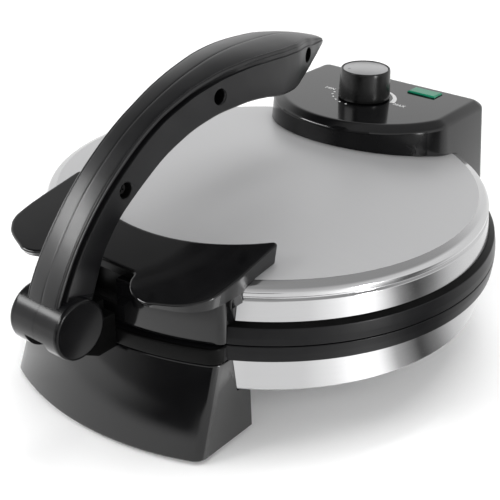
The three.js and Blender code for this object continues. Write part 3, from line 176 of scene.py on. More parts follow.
class Shape:
    """Vertices and faces of one or several closed forms, in millimetres."""

    def __init__(self):
        self.verts = []
        self.faces = []

    def add(self, verts, faces):
        base = len(self.verts)
        self.verts += [tuple(v) for v in verts]
        self.faces += [tuple(base + i for i in face) for face in faces]
        return self

    def rings(self, loops, close_ends=True):
        """Quads between loops that hold as many points each."""
        count = len(loops[0])
        verts = [p for loop in loops for p in loop]
        faces = []
        for k in range(len(loops) - 1):
            for i in range(count):
                j = (i + 1) % count
                faces.append((k * count + i, k * count + j, (k + 1) * count + j, (k + 1) * count + i))
        if close_ends:
            faces.append(tuple(reversed(range(count))))
            faces.append(tuple((len(loops) - 1) * count + i for i in range(count)))
        return self.add(verts, faces)

    def lathe(self, profile):
        """Turns a closed profile of (radius, height) points about the upright axis."""
        turns = [2 * math.pi * k / TURN_STEPS for k in range(TURN_STEPS)]
        loops = [[(r * math.cos(turn), r * math.sin(turn), z) for r, z in profile] for turn in turns]
        return self.rings([*loops, loops[0]], close_ends=False)

    def spindle(self, profile, axis="z", centre=(0, 0, 0), steps=TURN_STEPS):
        """Turns an open profile of (radius, place along the axis) that starts and ends on the axis."""
        cx, cy, cz = centre
        turns = [2 * math.pi * k / steps for k in range(steps)]
        loops = []
        for r, a in profile:
            ring = [(r * math.cos(turn), r * math.sin(turn)) for turn in turns]
            if axis == "z":
                loops.append([(cx + c, cy + s, cz + a) for c, s in ring])
            else:
                loops.append([(cx + a, cy + c, cz + s) for c, s in ring])
        return self.rings(loops)

    def drum(self, radius, low, high, axis="z", centre=(0, 0, 0), steps=TURN_STEPS):
        """A plain cylinder between two places along its axis."""
        return self.spindle([(0, low), (radius, low), (radius, high), (0, high)], axis, centre, steps)

    def prism(self, outline, levels):
        """Stacks an outline at (height, inset) levels. A height may be a function of x and y."""
        loops = []
        for height, distance in levels:
            loop = inset(outline, distance) if distance else outline
            loops.append([(x, y, height(x, y) if callable(height) else height) for x, y in loop])
        return self.rings(loops)


def soft_levels(low, high, low_round, high_round, steps=4):
    """Levels of a prism with rounded lower and upper edges, with a ring at each end that keeps it flat."""
    turns = [math.pi / 2 * k / steps for k in range(steps + 1)]
    levels = [(low, low_round * FLAT_SHARE)]
    for turn in reversed(turns):
        levels.append((low + low_round * (1 - math.sin(turn)), low_round * (1 - math.cos(turn))))
    for turn in turns:
        levels.append((high - high_round * (1 - math.sin(turn)), high_round * (1 - math.cos(turn))))
    return [*levels, (high, high_round * FLAT_SHARE)]


def mesh_of(name, verts, faces=()):
    mesh = bpy.data.meshes.new(name)
    mesh.from_pydata(verts, [], faces)
    return mesh


def placed(name, data):
    """A new object in the scene."""
    piece = bpy.data.objects.new(name, data)
    bpy.context.scene.collection.objects.link(piece)
    return piece


def plain_mesh(piece):
    """A piece's form after its modifiers, as a mesh of its own."""
    return bpy.data.meshes.new_from_object(piece.evaluated_get(bpy.context.evaluated_depsgraph_get()))


def reworked(mesh, *steps, reach=MERGE_REACH):
    """Merges a mesh's doubles, takes it through more steps and turns its faces outwards."""
    grown = bmesh.new()
    grown.from_mesh(mesh)
    bmesh.ops.remove_doubles(grown, verts=grown.verts, dist=reach)
    for work in steps:
        work(grown)
    bmesh.ops.recalc_face_normals(grown, faces=grown.faces)
    grown.to_mesh(mesh)
    grown.free()
    return mesh


def drop_slivers(grown):
    bmesh.ops.dissolve_degenerate(grown, edges=grown.edges, dist=1e-6)


def close_pinholes(grown):
    bmesh.ops.holes_fill(grown, edges=[edge for edge in grown.edges if edge.is_boundary], sides=8)


def merge_flats(grown):
    bmesh.ops.dissolve_limit(grown, angle_limit=math.radians(1), verts=grown.verts, edges=grown.edges)


def dressed(piece, material, smooth=35):
    mesh = piece.data
    mesh.materials.clear()
    mesh.materials.append(material)
    mesh.polygons.foreach_set("use_smooth", [True] * len(mesh.polygons))
    mesh.set_sharp_from_angle(angle=math.radians(smooth))
    return piece


def handed_over(piece, body, nodes):
    """Lets a piece ride on its body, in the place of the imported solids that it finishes."""
    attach(piece, body)
    if nodes:
        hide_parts(*nodes)
    return piece


def made(name, shape, material, body, nodes=(), smooth=35):
    """A finished piece in the frame, riding on its body."""
    mesh = reworked(mesh_of(name, [to_frame(*v) for v in shape.verts], shape.faces), drop_slivers)
    return handed_over(dressed(placed(name, mesh), material, smooth), body, nodes)


def recoated(piece, material, wanted):
    """Gives a second finish to the faces whose place, in plate millimetres, and direction are wanted."""
    piece.data.materials.append(material)
    slot = len(piece.data.materials) - 1
    middle = to_frame(0, 0, 0)
    for face in piece.data.polygons:
        if wanted((face.center - middle) / MM, face.normal):
            face.material_index = slot
    return piece


def healed(piece):
    """Merges the slivers that cutting leaves and closes the pinholes between them."""
    reworked(piece.data, drop_slivers, close_pinholes, reach=1e-5)
    return piece


def solid_object(shape):
    """A loose closed mesh, to cut with or to be cut."""
    mesh = mesh_of("cutter", [to_frame(*v) for v in shape.verts], shape.faces)
    return placed("cutter", reworked(mesh))


def cut(piece, *shapes, operation="DIFFERENCE"):
    """Takes shapes or loose meshes out of a piece, or joins them on, and keeps its place and name."""
    for shape in shapes:
        cutter = solid_object(shape) if isinstance(shape, Shape) else shape
        modifier = piece.modifiers.new("cut", "BOOLEAN")
        modifier.operation = operation
        modifier.solver = "EXACT"
        modifier.object = cutter
        done = plain_mesh(piece)
        piece.modifiers.remove(modifier)
        old = piece.data
        piece.data = done
        bpy.data.meshes.remove(old)
        bpy.data.objects.remove(cutter)
    return piece


def bevelled(piece, width, segments=3, angle=30):
    modifier = piece.modifiers.new("edge", "BEVEL")
    modifier.width = width * MM
    modifier.segments = segments
    modifier.limit_method = "ANGLE"
    modifier.angle_limit = math.radians(angle)
    modifier.harden_normals = False
    done = plain_mesh(piece)
    piece.modifiers.remove(modifier)
    piece.data = done
    return piece


# Nodes, for the finishes, the screws and pads, and the studio

def step(tree, kind, inputs=(), out=0, **settings):
    """One output of a new node. A socket among its inputs is linked and any other value is set."""
    node = tree.nodes.new(kind)
    for key, value in settings.items():
        setattr(node, key, value)
    for key, value in dict(inputs).items():
        if isinstance(value, bpy.types.NodeSocket):
            tree.links.new(value, node.inputs[key])
        else:
            node.inputs[key].default_value = value
    return node.outputs[out]


def worked_out(tree, operation, first, second):
    return step(tree, "ShaderNodeMath", {0: first, 1: second}, operation=operation)


def way_along(tree, value, low, high, at_low=0.0, at_high=1.0):
    """A value's way from low to high, as a number from at_low to at_high."""
    ends = {"From Min": low, "From Max": high, "To Min": at_low, "To Max": at_high}
    return step(tree, "ShaderNodeMapRange", {"Value": value, **ends})


def ramp(tree, value, stops):
    """Colours along a value, from (place, colour) stops."""
    node = tree.nodes.new("ShaderNodeValToRGB")
    for _ in stops[2:]:
        node.color_ramp.elements.new(0.5)
    for spot, (place, colour) in zip(node.color_ramp.elements, stops):
        spot.position = place
        spot.color = (*colour, 1)
    tree.links.new(value, node.inputs["Fac"])
    return node.outputs["Color"]


# Finishes

def grey(level, blue=0.0):
    return level, level, level + blue


def greys(low, high, blue=0.0):
    return grey(low, blue), grey(high, blue)


def shader(name, colour, roughness, metallic=0.0, **sockets):
    """A material with its even values on the shader's own sockets."""
    material = bpy.data.materials.new(name)
    material.use_nodes = True
    bsdf = material.node_tree.nodes["Principled BSDF"]
    bsdf.inputs["Base Color"].default_value = (*colour, 1)
    bsdf.inputs["Roughness"].default_value = roughness
    bsdf.inputs["Metallic"].default_value = metallic
    for socket, value in sockets.items():
        bsdf.inputs[socket.replace("_", " ")].default_value = value
    material.diffuse_color = (*colour, 1)
    return material


def finish(name, colour, tints, roughness, rough, scale, stretch=(1, 1, 1), turn=0.0, bump=0.0, detail=4.0,
           **sockets):
    """A material whose noise over the piece's own place varies tint and roughness and gives a fine relief."""
    material = shader(name, colour, roughness, **sockets)
    tree = material.node_tree
    surface = tree.nodes["Principled BSDF"].inputs
    place = step(tree, "ShaderNodeTexCoord", out="Object")
    mapped = step(tree, "ShaderNodeMapping", {"Vector": place, "Rotation": (0, 0, turn), "Scale": stretch})
    noise = step(tree, "ShaderNodeTexNoise", {"Vector": mapped, "Scale": scale, "Detail": detail}, "Fac")
    tree.links.new(way_along(tree, noise, 0.3, 0.7, *rough), surface["Roughness"])
    tree.links.new(ramp(tree, noise, list(zip((0.3, 0.7), tints))), surface["Base Color"])
    if bump:
        relief = step(tree, "ShaderNodeBump", {"Strength": bump, "Distance": 0.0002, "Height": noise})
        tree.links.new(relief, surface["Normal"])
    return material


BRUSH_TURN = math.radians(-37)
STEEL, STEEL_TINTS = grey(0.57, 0.005), greys(0.565, 0.575, 0.005)
GLOSS_TINTS = greys(0.0025, 0.004, 0.0003)
SATIN, SATIN_TINTS = grey(0.004, 0.0005), greys(0.0035, 0.005, 0.0005)

satin_steel = finish("satin_steel", grey(0.45, 0.005), greys(0.445, 0.455, 0.005), 0.42, (0.4, 0.44),
                     26, (1, 40, 1), BRUSH_TURN, metallic=0.5)
rim_steel = finish("rim_steel", STEEL, STEEL_TINTS, 0.15, (0.14, 0.16), 30, (1, 1, 30), metallic=1.0)
bowl_steel = finish("polished_steel", STEEL, STEEL_TINTS, 0.13, (0.12, 0.14), 30, (1, 1, 30), metallic=1.0)
gloss_black = finish("gloss_black", grey(0.003), GLOSS_TINTS, 0.1, (0.09, 0.12), 60)
lever_black = finish("lever_black", SATIN, SATIN_TINTS, 0.32, (0.31, 0.34), 90)
barrel_black = finish("barrel_black", grey(0.003, 0.0005), greys(0.0025, 0.004, 0.0005), 0.22, (0.21, 0.24),
                      90, Specular_IOR_Level=0.32)
# Painted shade: a duller, slightly darker black with little gloss, for recesses, gaps and parts that sit in
# shade
black_in_painted_shade = finish("black_in_painted_shade", grey(0.002), greys(0.0015, 0.003), 0.3, (0.28, 0.34),
                     90, Specular_IOR_Level=0.08)
# Painted light: a lighter black with stronger gloss that makes the foot's right side read as lit
foot_side_painted_light = finish("foot_side_painted_light", grey(0.018), greys(0.016, 0.02), 0.14, (0.12, 0.16),
                    60, Specular_IOR_Level=0.7)
# Painted shade: a black with almost no gloss that makes the housing's front wall read as shaded
front_wall_painted_shade = finish("front_wall_painted_shade", grey(0.003), GLOSS_TINTS, 0.16, (0.14, 0.18), 60, Specular_IOR_Level=0.12)
knob_black = finish("knob_black", grey(0.004), greys(0.003, 0.005), 0.24, (0.22, 0.26),
                    90, Specular_IOR_Level=0.3)
ring_black = finish("ring_black", SATIN, SATIN_TINTS, 0.3, (0.28, 0.32), 120, bump=0.012,
                    Specular_IOR_Level=0.2)
non_stick = finish("non_stick", grey(0.03, 0.002), ((0.018, 0.018, 0.019), (0.05, 0.05, 0.053)),
                   0.42, (0.34, 0.5), 900, bump=0.2, detail=2.0)
element_steel = finish("element_steel", (0.2, 0.18, 0.16), ((0.16, 0.14, 0.12), (0.26, 0.23, 0.2)),
                       0.5, (0.4, 0.6), 70, bump=0.1, metallic=1.0)
shield_metal = finish("shield_metal", grey(0.6, -0.01), greys(0.56, 0.64, -0.01), 0.35, (0.3, 0.42),
                      40, (1, 20, 1), bump=0.03, metallic=1.0)
screw_steel = finish("screw_steel", grey(0.55, -0.02), (grey(0.5, -0.02), grey(0.6, -0.03)),
                     0.3, (0.24, 0.38), 400, bump=0.05, metallic=1.0)
rubber_black = finish("rubber_black", grey(0.02), greys(0.016, 0.026), 0.85, (0.78, 0.92), 500, bump=0.2)
white_ceramic = finish("white_ceramic", (0.75, 0.72, 0.65), ((0.7, 0.67, 0.6), (0.8, 0.77, 0.7)),
                       0.6, (0.5, 0.7), 300, bump=0.1)
cap_grey = finish("cap_grey", grey(0.42, 0.005), greys(0.4, 0.44, 0.005), 0.32, (0.28, 0.38),
                  500, (1, 12, 1), BRUSH_TURN, bump=0.03, metallic=0.8)
green_lens = finish("green_lens", (0.01, 0.24, 0.13), ((0.008, 0.22, 0.12), (0.014, 0.27, 0.15)),
                    0.08, (0.06, 0.12), 120, Transmission_Weight=0.35, IOR=1.49)
lamp_glass = finish("lamp_glass", (0.75, 0.3, 0.12), ((0.7, 0.28, 0.1), (0.8, 0.34, 0.14)),
                    0.1, (0.06, 0.14), 120, Transmission_Weight=0.6, IOR=1.45)
screw_black = finish("screw_black", grey(0.006), greys(0.005, 0.008), 0.45, (0.4, 0.5),
                     400, Specular_IOR_Level=0.2)
cap_black = finish("cap_black", grey(0.003), GLOSS_TINTS, 0.16, (0.14, 0.18), 80, Specular_IOR_Level=0.22)
dial_print = finish("dial_print", grey(0.62), greys(0.58, 0.66), 0.5, (0.45, 0.55), 600)


# Lid: steel shell, ring and glossy front block

SHEET = 1
CROWN_TOP = 42.5
CROWN_EDGE = 131.5
RING_TOP = 11.9
RING_ROOM = 145.3
BLOCK_HALF, BLOCK_INNER = 71.7, 116


def crown_height(radius):
    return CROWN_TOP - 9.9 * (radius / CROWN_EDGE) ** 2


def crown_run(reach, steps):
    """Points of the crown from a radius to the middle."""
    return [(reach * (1 - k / steps), crown_height(reach * (1 - k / steps))) for k in range(steps + 1)]


def front_opening(half, radius):
    """The room for the front block: between its two sides and outside a circle."""
    room = solid_object(Shape().prism(bow_front(160, half, 60, 6), [(-5, 0), (60, 0)]))
    return cut(room, Shape().drum(radius, -10, 70))


def make_lid_shell():
    edge = softened([
        (139.7, RING_TOP), (138.3, 23.4, 0.8), (136.9, 24.5, 0.5), (136.95, 25.2, 0.5), (138.0, 25.9, 0.7),
        (138.1, 28.0, 2.5), (136.2, 31.0, 4.0), (CROWN_EDGE, crown_height(CROWN_EDGE), 6),
        (124, crown_height(124)),
    ], 1, steps=6, closed=False)
    crown = crown_run(124, 24)[1:-1]
    inner = [(r, z - SHEET) for r, z in reversed(crown)]
    inner += [(124, crown_height(124) - SHEET), (131, 31.2), (135, 29.5), (136.4, 27.5), (136.4, 26.5),
              (135.9, 25.5), (135.9, 24.2), (137.3, 23), (138.7, RING_TOP)]
    profile = [(0, CROWN_TOP - SHEET), *inner, *edge, *crown, (0, CROWN_TOP)]
    piece = made("lid_steel_shell", Shape().spindle(profile), satin_steel, "lid", ["lid_shell"])
    cut(piece, front_opening(BLOCK_HALF + 0.3, BLOCK_INNER - 0.3))
    dressed(piece, satin_steel, 28)
    return recoated(piece, rim_steel, lambda at, facing: at.to_2d().length > 131.4)


def make_lid_ring():
    profile = softened([
        (128, 0.0, 0), (145, 0.0, 0.7), (144.6, 4.0, 3), (143.5, 9.9, 1.2), (140.2, 11.6, 0.6),
        (138.4, 11.6, 0.3), (137.6, 17, 0.3), (136, 17, 0.3), (136, 5, 1), (128, 5, 0.8),
    ], 0.5, steps=6)
    ring = Shape().lathe(profile)
    piece = made("lid_ring_body", ring, ring_black, "lid", ["lid_ring"], 30)
    # The ring's top, under the edge of the steel band, is darkened with the painted shade finish: a painted
    # shadow line in the gap.
    return recoated(piece, black_in_painted_shade, lambda at, facing: at.z > 9.9)


def make_base_ring():
    profile = softened([
        (128, -0.5, 0), (128, -5.5, 0.8), (136, -5.5, 1), (136, -17, 0.3), (137.6, -17, 0.3),
        (138.3, -10.8, 0.3), (140, -10.8, 0.5), (144.3, -10.4, 1.0), (144.8, -5, 3), (145, -0.5, 0.7),
    ], 0.5, steps=6)
    ring = Shape().lathe(profile)
    piece = made("base_ring_body", ring, ring_black, "base", ["base_ring"], 30)
    apron = Shape().prism(bow_front(151.5, 71.5, 100, 9), soft_levels(-10.5, -0.5, 1.2, 1.0))
    cut(piece, cut(solid_object(apron), Shape().drum(137, -20, 10)), operation="UNION")
    dressed(piece, ring_black, 30)
    # The apron's faces outside the ring are darkened with the painted shade finish.
    return recoated(piece, black_in_painted_shade, lambda at, facing: at.to_2d().length > 145.4)


def make_front_block():
    block = Shape().prism(bow_front(148, BLOCK_HALF, 100, 6), soft_levels(0.3, 28, 1.0, 1.2))
    piece = made("lid_front_block_body", block, gloss_black, "lid", ["lid_front_block"])
    core = Shape().drum(BLOCK_INNER, -20, 60)
    ring = Shape().drum(RING_ROOM, -20, RING_TOP)
    recess = Shape().prism(oblong(-13, -160, 13, -139), [(RING_TOP, 0), (40, 0)])
    cut(piece, core, ring, recess)
    dressed(piece, gloss_black)
    # The recess behind the lever is darkened with the painted shade finish.
    return recoated(piece, black_in_painted_shade, lambda at, facing: abs(at.x) < 13.05 and at.y > -147.2 and at.z < 27)


# Base: steel bowl and feet

def make_bowl():
    outer = softened([
        (139.9, -10.8, 0.3), (139.2, -20.0, 0.3), (138.4, -33.2, 2.4), (130, -33.4, 0), (0, -33.4, 0),
    ], 0.5, steps=8, closed=False)
    inner = [(0, -32.4), (130, -32.4), (136.4, -32.2), (137.5, -31), (138.2, -20), (138.9, -10.8)]
    bowl = Shape().spindle(inner + outer)
    return made("lower_steel_bowl", bowl, bowl_steel, "base", ["lower_shell"], 28)


def foot_loops(upper, lower, high, low):
    """Loops from a lower outline up to an upper one that has as many points, with softened end edges."""
    loops = []
    for height, distance in soft_levels(low, high, 1.2, 1.0, steps=5):
        share = (height - low) / (high - low)
        outline = [(a[0] + (b[0] - a[0]) * share, a[1] + (b[1] - a[1]) * share) for a, b in zip(lower, upper)]
        loops.append([(x, y, height) for x, y in (inset(outline, distance) if distance else outline)])
    return loops


def make_front_foot():
    foot = Shape().rings(foot_loops(bow_front(150.5, 71, 107, 8), bow_front(168, 74, 107, 8), -10.8, -62.5))
    piece = made("front_foot_body", foot, gloss_black, "base", ["front_foot"])
    bowl_room = [(0, -33.7), (137.5, -33.7), (138.7, -33.3), (140.2, -10.5), (140.2, 5), (0, 5)]
    cut(piece, Shape().spindle(bowl_room))
    dressed(piece, gloss_black)
    # The foot's right side is lightened with the painted light finish.
    return recoated(piece, foot_side_painted_light, lambda at, facing: facing.x > 0.9)


make_lid_shell()
make_lid_ring()
make_base_ring()
make_front_block()
make_bowl()
make_front_foot()


# Lid grip: a wing with a sloping top, two front lobes and a notch between them

GRIP_BACK = 114
GRIP_SIDE = 76.2
GRIP_TIP_ROUND = 2.8
GRIP_UNDER = 28.0
GRIP_SLOPE = 0.2


def grip_top(y):
    """The height of the top, which falls towards the front."""
    return 46.4 + GRIP_SLOPE * (y + 87.6)


def grip_outline():
    """The grip from above, anticlockwise and evenly stepped."""
    tip_x = GRIP_SIDE - GRIP_TIP_ROUND
    tip_y = -math.sqrt((GRIP_BACK + GRIP_TIP_ROUND) ** 2 - tip_x ** 2)
    lean = math.degrees(math.atan2(tip_y, tip_x))
    back = arc(0, 0, GRIP_BACK, -90, lean, 40)
    tip = arc(tip_x, tip_y, GRIP_TIP_ROUND, 180 + lean, 0, 14)[1:]
    side = spline([(GRIP_SIDE, tip_y), (76.4, -104), (76.6, -118), (76.2, -130), (75, -139.6)], 8)[1:]
    lobe = spline([(75, -139.6), (73, -144.2), (70, -148), (66, -151.7), (60.5, -154.8), (52.7, -158),
                   (46, -160.5), (40, -160.1), (33.6, -157.2), (28.8, -153.4), (26.4, -149.8)], 8)[1:]
    notch = softened([(26.4, -149.8), (25, -145, 3.5), (0, -145)], 0, steps=8, closed=False)[1:]
    half = [tuple(p) for p in evened(back + tip + side + lobe + notch, 200)]
    left = [(-x, y) for x, y in half[1:-1]]
    return half[::-1] + left


def make_grip():
    outline = grip_outline()
    levels = [(22.3, 2.2), (GRIP_UNDER + 0.3, 2.0)]
    rounding = [(1.3, 0.2), (0.9, 0.2), (0.55, 0.3), (0.28, 0.55), (0.08, 0.9), (0, 1.3), (0, 2.0)]
    for drop, distance in rounding:
        levels.append((lambda x, y, drop=drop: grip_top(y) - drop, distance))
    grip = Shape().prism(outline, levels)
    piece = made("lid_grip_body", grip, gloss_black, "lid", ["lid_grip"])
    under = solid_object(Shape().prism(oblong(-90, -175, 90, -125.5), [(0, 0), (GRIP_UNDER, 0)]))
    cut(under, Shape().prism(bow_front(147.6, BLOCK_HALF - 0.4, 100, 6), [(-5, 0), (45, 0)]))
    block_room = Shape().prism(bow_front(160, BLOCK_HALF + 0.2, 60, 6), [(0, 0), (28.2, 0)])
    crown = [(130 * k / 24, crown_height(130 * k / 24) + 0.3) for k in range(25)]
    rim = [(0, 0), (136.6, 0), (138.6, 25), (138.5, 28.2), (136.5, 31.3)]
    lid_room = solid_object(Shape().spindle([*rim, *reversed(crown)]))
    cut(lid_room, front_opening(BLOCK_HALF + 0.1, BLOCK_INNER + 0.1))
    cut(piece, under, lid_room, block_room)
    dressed(piece, gloss_black)
    recoated(piece, lever_black, lambda at, facing: abs(at.x) > 74.5 and abs(facing.x) > 0.9)
    # The notch's back wall is darkened with the painted shade finish.
    return recoated(piece, black_in_painted_shade,
                    lambda at, facing: abs(at.x) < 25.2 and facing.y < -0.6 and -146.5 < at.y < -140)


# Lever: two halves about the barrel

PIN = (0, -178.5, 12.3)
PIN_Y, PIN_Z = PIN[1:]
BARREL = 16.7
BARREL_STEPS = 128
BORE_STEPS = 64
# The lever's upper and lower lines from the side: places behind the pin and heights above it
LEVER_CREST = [(-10.5, 11.3), (-8, 18.2), (-4.4, 25.6), (0.8, 34.4), (6.6, 42.9), (13.1, 51),
               (19.9, 58.7), (27.3, 66), (35.4, 73), (48.2, 82.6), (60, 90), (72, 96), (85.3, 101.4),
               (98, 105.6), (111.2, 109), (125.7, 111.8), (141.5, 113.3), (158.8, 113.5), (177.3, 112.6),
               (187.9, 111.4), (198, 109.5), (208, 107.2), (218, 104.3), (223, 102.7), (226, 101.5)]
LEVER_KEEL = [(13.7, 5.7), (18.1, 15.3), (25, 31.1), (30.4, 39), (39.6, 48.8), (51.4, 57.4), (66.8, 67.3),
              (81, 74.9), (97, 80.9), (113.2, 84.4), (129.1, 85.8), (141.1, 85.9), (152.1, 84.9),
              (161, 83.2), (170, 82.3), (179, 82.4), (188, 84), (196, 86.2), (204, 88.9), (210.5, 91.3),
              (216, 93.6), (221, 95.9), (224.6, 97.6)]
# Places along the lever with the crown's half width and its drop towards the side
LEVER_CROWN = [(-20, 10.4, 0.4), (-10, 10, 0.4), (10, 9.6, 0.35), (50, 9.6, 0.35), (70, 9.8, 0.35),
               (90, 11.3, 0.5), (110, 13.2, 1.2), (130, 15.7, 2.1), (150, 17.5, 2.6), (165, 17.9, 2.8),
               (180, 16.8, 2.5), (200, 10.8, 1.2), (215, 6.8, 0.8), (222, 5.0, 0.6), (227, 3.7, 0.5)]


def lever_crown(y):
    points = LEVER_CROWN
    for (a, wa, da), (b, wb, db) in zip(points, points[1:]):
        if y <= b:
            share = min(max((y - a) / (b - a), 0), 1)
            share = share * share * (3 - 2 * share) * 0.4 + share * 0.6
            return wa + (wb - wa) * share, da + (db - da) * share
    return points[-1][1:]


SEAM = 0.03
LEDGE = 2.8
# Places near the tip with the half width at the keel
LEVER_TIP_SIDE = [(190, 16.6), (203, 12.8), (214, 9.4), (222, 6.8), (227, 5.2)]


def lever_side(y):
    """Half width at the keel: the crown's with its ledge, and blunter near the tip."""
    points = LEVER_TIP_SIDE
    if y <= points[0][0]:
        return lever_crown(y)[0] + LEDGE
    for (a, wa), (b, wb) in zip(points, points[1:]):
        if y <= b:
            return wa + (wb - wa) * (y - a) / (b - a)
    return points[-1][1]


def groove_share(y):
    """How deep the groove under the bead is: full near the barrel, closed from mid arm on."""
    return min(max((150 - y) / 60, 0), 1)


def lever_section(depth, crown, side, groove):
    """One half's outline, (across, down), from the seam at the crest over the side to the keel's seam."""
    half, drop = crown
    tall = min(depth / 17, 1)
    wide = min(1, half / 6 + 0.1)
    top = [(SEAM, 0.1), (SEAM + 0.02, 0.02), (SEAM + 0.08, 0)]
    top += [(half * t, drop * t * t) for t in (0.15, 0.3, 0.45, 0.6, 0.75, 0.88)]
    rim = [(-0.3, 0), (-0.12, 0.06), (-0.1, 0.5), (0.12, 0.5), (0.15, 0.04), (0.4, 0.0), (0.75, 0.08),
           (1.15, 0.34), (1.45, 0.85), (1.6, 1.5), (1.5, 2.0)]
    rim += [(1.9 + (x - 1.9) * groove, z) for x, z in
            ((0.8, 2.25), (-0.4, 2.4), (-0.8, 2.6), (-0.8, 4.3), (-0.4, 4.55), (1.2, 4.7))]
    top += [(half + x * wide, drop + z * tall) for x, z in rim]
    low = [(0, 2.0 * tall), (-0.15, 1.55 * tall), (-1.35, 0.2 * tall), (-1.75, 0)]
    ledge = [(half + x * wide, drop + z * tall) for x, z in ((2.45, 4.72), (2.75, 4.9), (LEDGE, 5.3))]
    return top + ledge + [(side + x * wide, depth - z) for x, z in low] + [
        (side * 0.5, depth), (SEAM + 0.08, depth), (SEAM + 0.02, depth - 0.02), (SEAM, depth - 0.1)]


def lever_arm(side):
    crest, keel = (evened(spline(line, 8), 120) for line in (LEVER_CREST, LEVER_KEEL))
    loops = []
    for top, low in zip(crest, keel):
        down = low - top
        depth = down.length
        down.normalize()
        loop = []
        for x, z in lever_section(depth, lever_crown(top.x), lever_side(low.x), groove_share(top.x)):
            place = top + down * z
            loop.append((side * x, PIN_Y + place.x, PIN_Z + place.y))
        loops.append(loop)
    end = loops[-1]
    centre = sum((Vector(p) for p in end), Vector()) / len(end)
    centre.x = end[0][0]
    for share, out in ((0.94, 0.35), (0.8, 0.75), (0.55, 1.0)):
        step_out = Vector((0, out * 0.92, -out * 0.4))
        loops.append([tuple(centre.lerp(Vector(p), share) + step_out) for p in end])
    return Shape().rings(loops)


def about_pin(angle, reach, offset):
    c, s = math.cos(math.radians(angle)), math.sin(math.radians(angle))
    return PIN_Y + reach * c - offset * s, PIN_Z + reach * s + offset * c


def side_prism(points, x0, x1):
    """A prism along X over (y, z) points."""
    return Shape().rings([[(x, y, z) for y, z in points] for x in (x0, x1)])


TONGUE_TURN = -5
LEVER_SCREWS = [(42.4, 62.5), (113.2, 95.1), (198.4, 98.2)]


def make_lever_half(name, side, node):
    arm = lever_arm(side)
    piece = made(name, arm, lever_black, "lever", [node])
    inner, outer = side * (SEAM + 0.01), side * 15.5
    profile = [(0, inner), (BARREL - 0.04, inner), (BARREL, inner + side * 0.05), (BARREL, outer), (0, outer)]
    barrel = Shape().spindle(profile, "x", PIN, BARREL_STEPS)
    root, shoulder, end = side * (SEAM + 0.02), side * 11.4, side * 12.3
    boss = Shape().spindle([(0, root), (6.5, root), (6.5, shoulder), (5.7, end), (0, end)],
                           "x", (0, PIN_Y + 7.5, PIN_Z + 18.6), BORE_STEPS)
    cut(piece, barrel, boss, operation="UNION")
    sector = [about_pin(TONGUE_TURN, 0, 5.7), about_pin(TONGUE_TURN, 20, 5.7)]
    sector += [about_pin(TONGUE_TURN - 140 * k / 24, 20, 0) for k in range(1, 24)]
    sector += [about_pin(TONGUE_TURN - 140, 20, -5.7), about_pin(TONGUE_TURN - 140, 0, -5.7)]
    slot_room = side_prism(sector, -side * 3, side * 7.5)
    eye_room = Shape().drum(8.6, -side * 3, side * 7.45, "x", PIN, BORE_STEPS)
    cut(piece, slot_room, eye_room)
    if side > 0:
        for y, z in LEVER_SCREWS:
            wall = lever_crown(y)[0] + LEDGE
            hole = [(0, 6.2), (4.2, 6.2), (4.2, wall - 1.2), (4.35, wall - 0.5), (4.9, wall + 0.1), (4.9, 30),
                    (0, 30)]
            cut(piece, Shape().spindle(hole, "x", (0, PIN_Y + y, PIN_Z + z), 48))
    dressed(healed(piece), lever_black, 32)
    pin = Vector((PIN_Y, PIN_Z))
    # The screw holes' walls are darkened with the painted shade finish.
    recoated(piece, black_in_painted_shade, lambda at, facing: side > 0 and (abs(facing.x) < 0.3 or at.x < 7) and any(
        (at.yz - Vector((PIN_Y + y, PIN_Z + z))).length < 4.5 for y, z in LEVER_SCREWS))
    return recoated(piece, barrel_black, lambda at, facing: (at.yz - pin).length < BARREL + 0.02)


def make_barrel_cap(name, side, node):
    profile = [(0, side * 15.6), (BARREL, side * 15.6), (BARREL, side * 17.0), (16.45, side * 17.5),
               (15.9, side * 17.8), (15.2, side * 17.8), (14.9, side * 17.7), (0, side * 17.7)]
    cap = Shape().spindle(profile, "x", PIN, BARREL_STEPS)
    return made(name, cap, cap_black, "lever", [node])


def make_bracket():
    side_view = [(-150, -12), (-164, -12), (-178.5, -4), (-178.5, 9.5), (-150, 9.5)]
    body = side_prism(side_view, -14.5, 14.5)
    # The bracket between the barrel and the lid is all in the painted shade finish.
    piece = made("lever_bracket_body", body, black_in_painted_shade, "base", ["lever_bracket"])
    bevelled(piece, 0.6)
    cut(piece, Shape().drum(BARREL + 0.6, -20, 20, "x", PIN, BARREL_STEPS))
    tongue = [about_pin(TONGUE_TURN, reach, offset) for reach, offset in ((0, -5), (30, -5), (30, 5), (0, 5))]
    eye = Shape().drum(8, -6.8, 6.8, "x", PIN, BORE_STEPS)
    cut(piece, side_prism(tongue, -6.8, 6.8), eye, operation="UNION")
    cut(piece, Shape().drum(151.8, -30, 40, steps=256))
    return dressed(piece, black_in_painted_shade, 32)


make_grip()
make_lever_half("lever_half_plain", -1, "lever_half_left")
make_lever_half("lever_half_screwed", 1, "lever_half_right")
make_barrel_cap("barrel_end_left", -1, "barrel_cap_left")
make_barrel_cap("barrel_end_right", 1, "barrel_cap_right")
make_bracket()


# Control housing, knob and dial

BOW_Y = 125
HOUSING_TOP = 57.0


def housing_outline(distance):
    """The housing from above, moved inwards: a front arc, wide front corners and rounded back corners."""
    radius, half, cheek = 72 - distance, 68 - distance, 24 - distance
    fall = math.sqrt((radius - cheek) ** 2 - (half - cheek) ** 2)
    swing = math.degrees(math.atan2(half - cheek, fall))
    corner = max(9 - distance, 1)
    back = 160 - distance
    points = arc(half - corner, back - corner, corner, 0, 90, 8)
    points += arc(corner - half, back - corner, corner, 90, 180, 8)
    points += arc(cheek - half, BOW_Y - fall, cheek, 180, 270 - swing, 10)
    points += arc(0, BOW_Y, radius, 270 - swing, 270 + swing, 60)[1:-1]
    points += arc(half - cheek, BOW_Y - fall, cheek, 270 + swing, 360, 10)
    return points


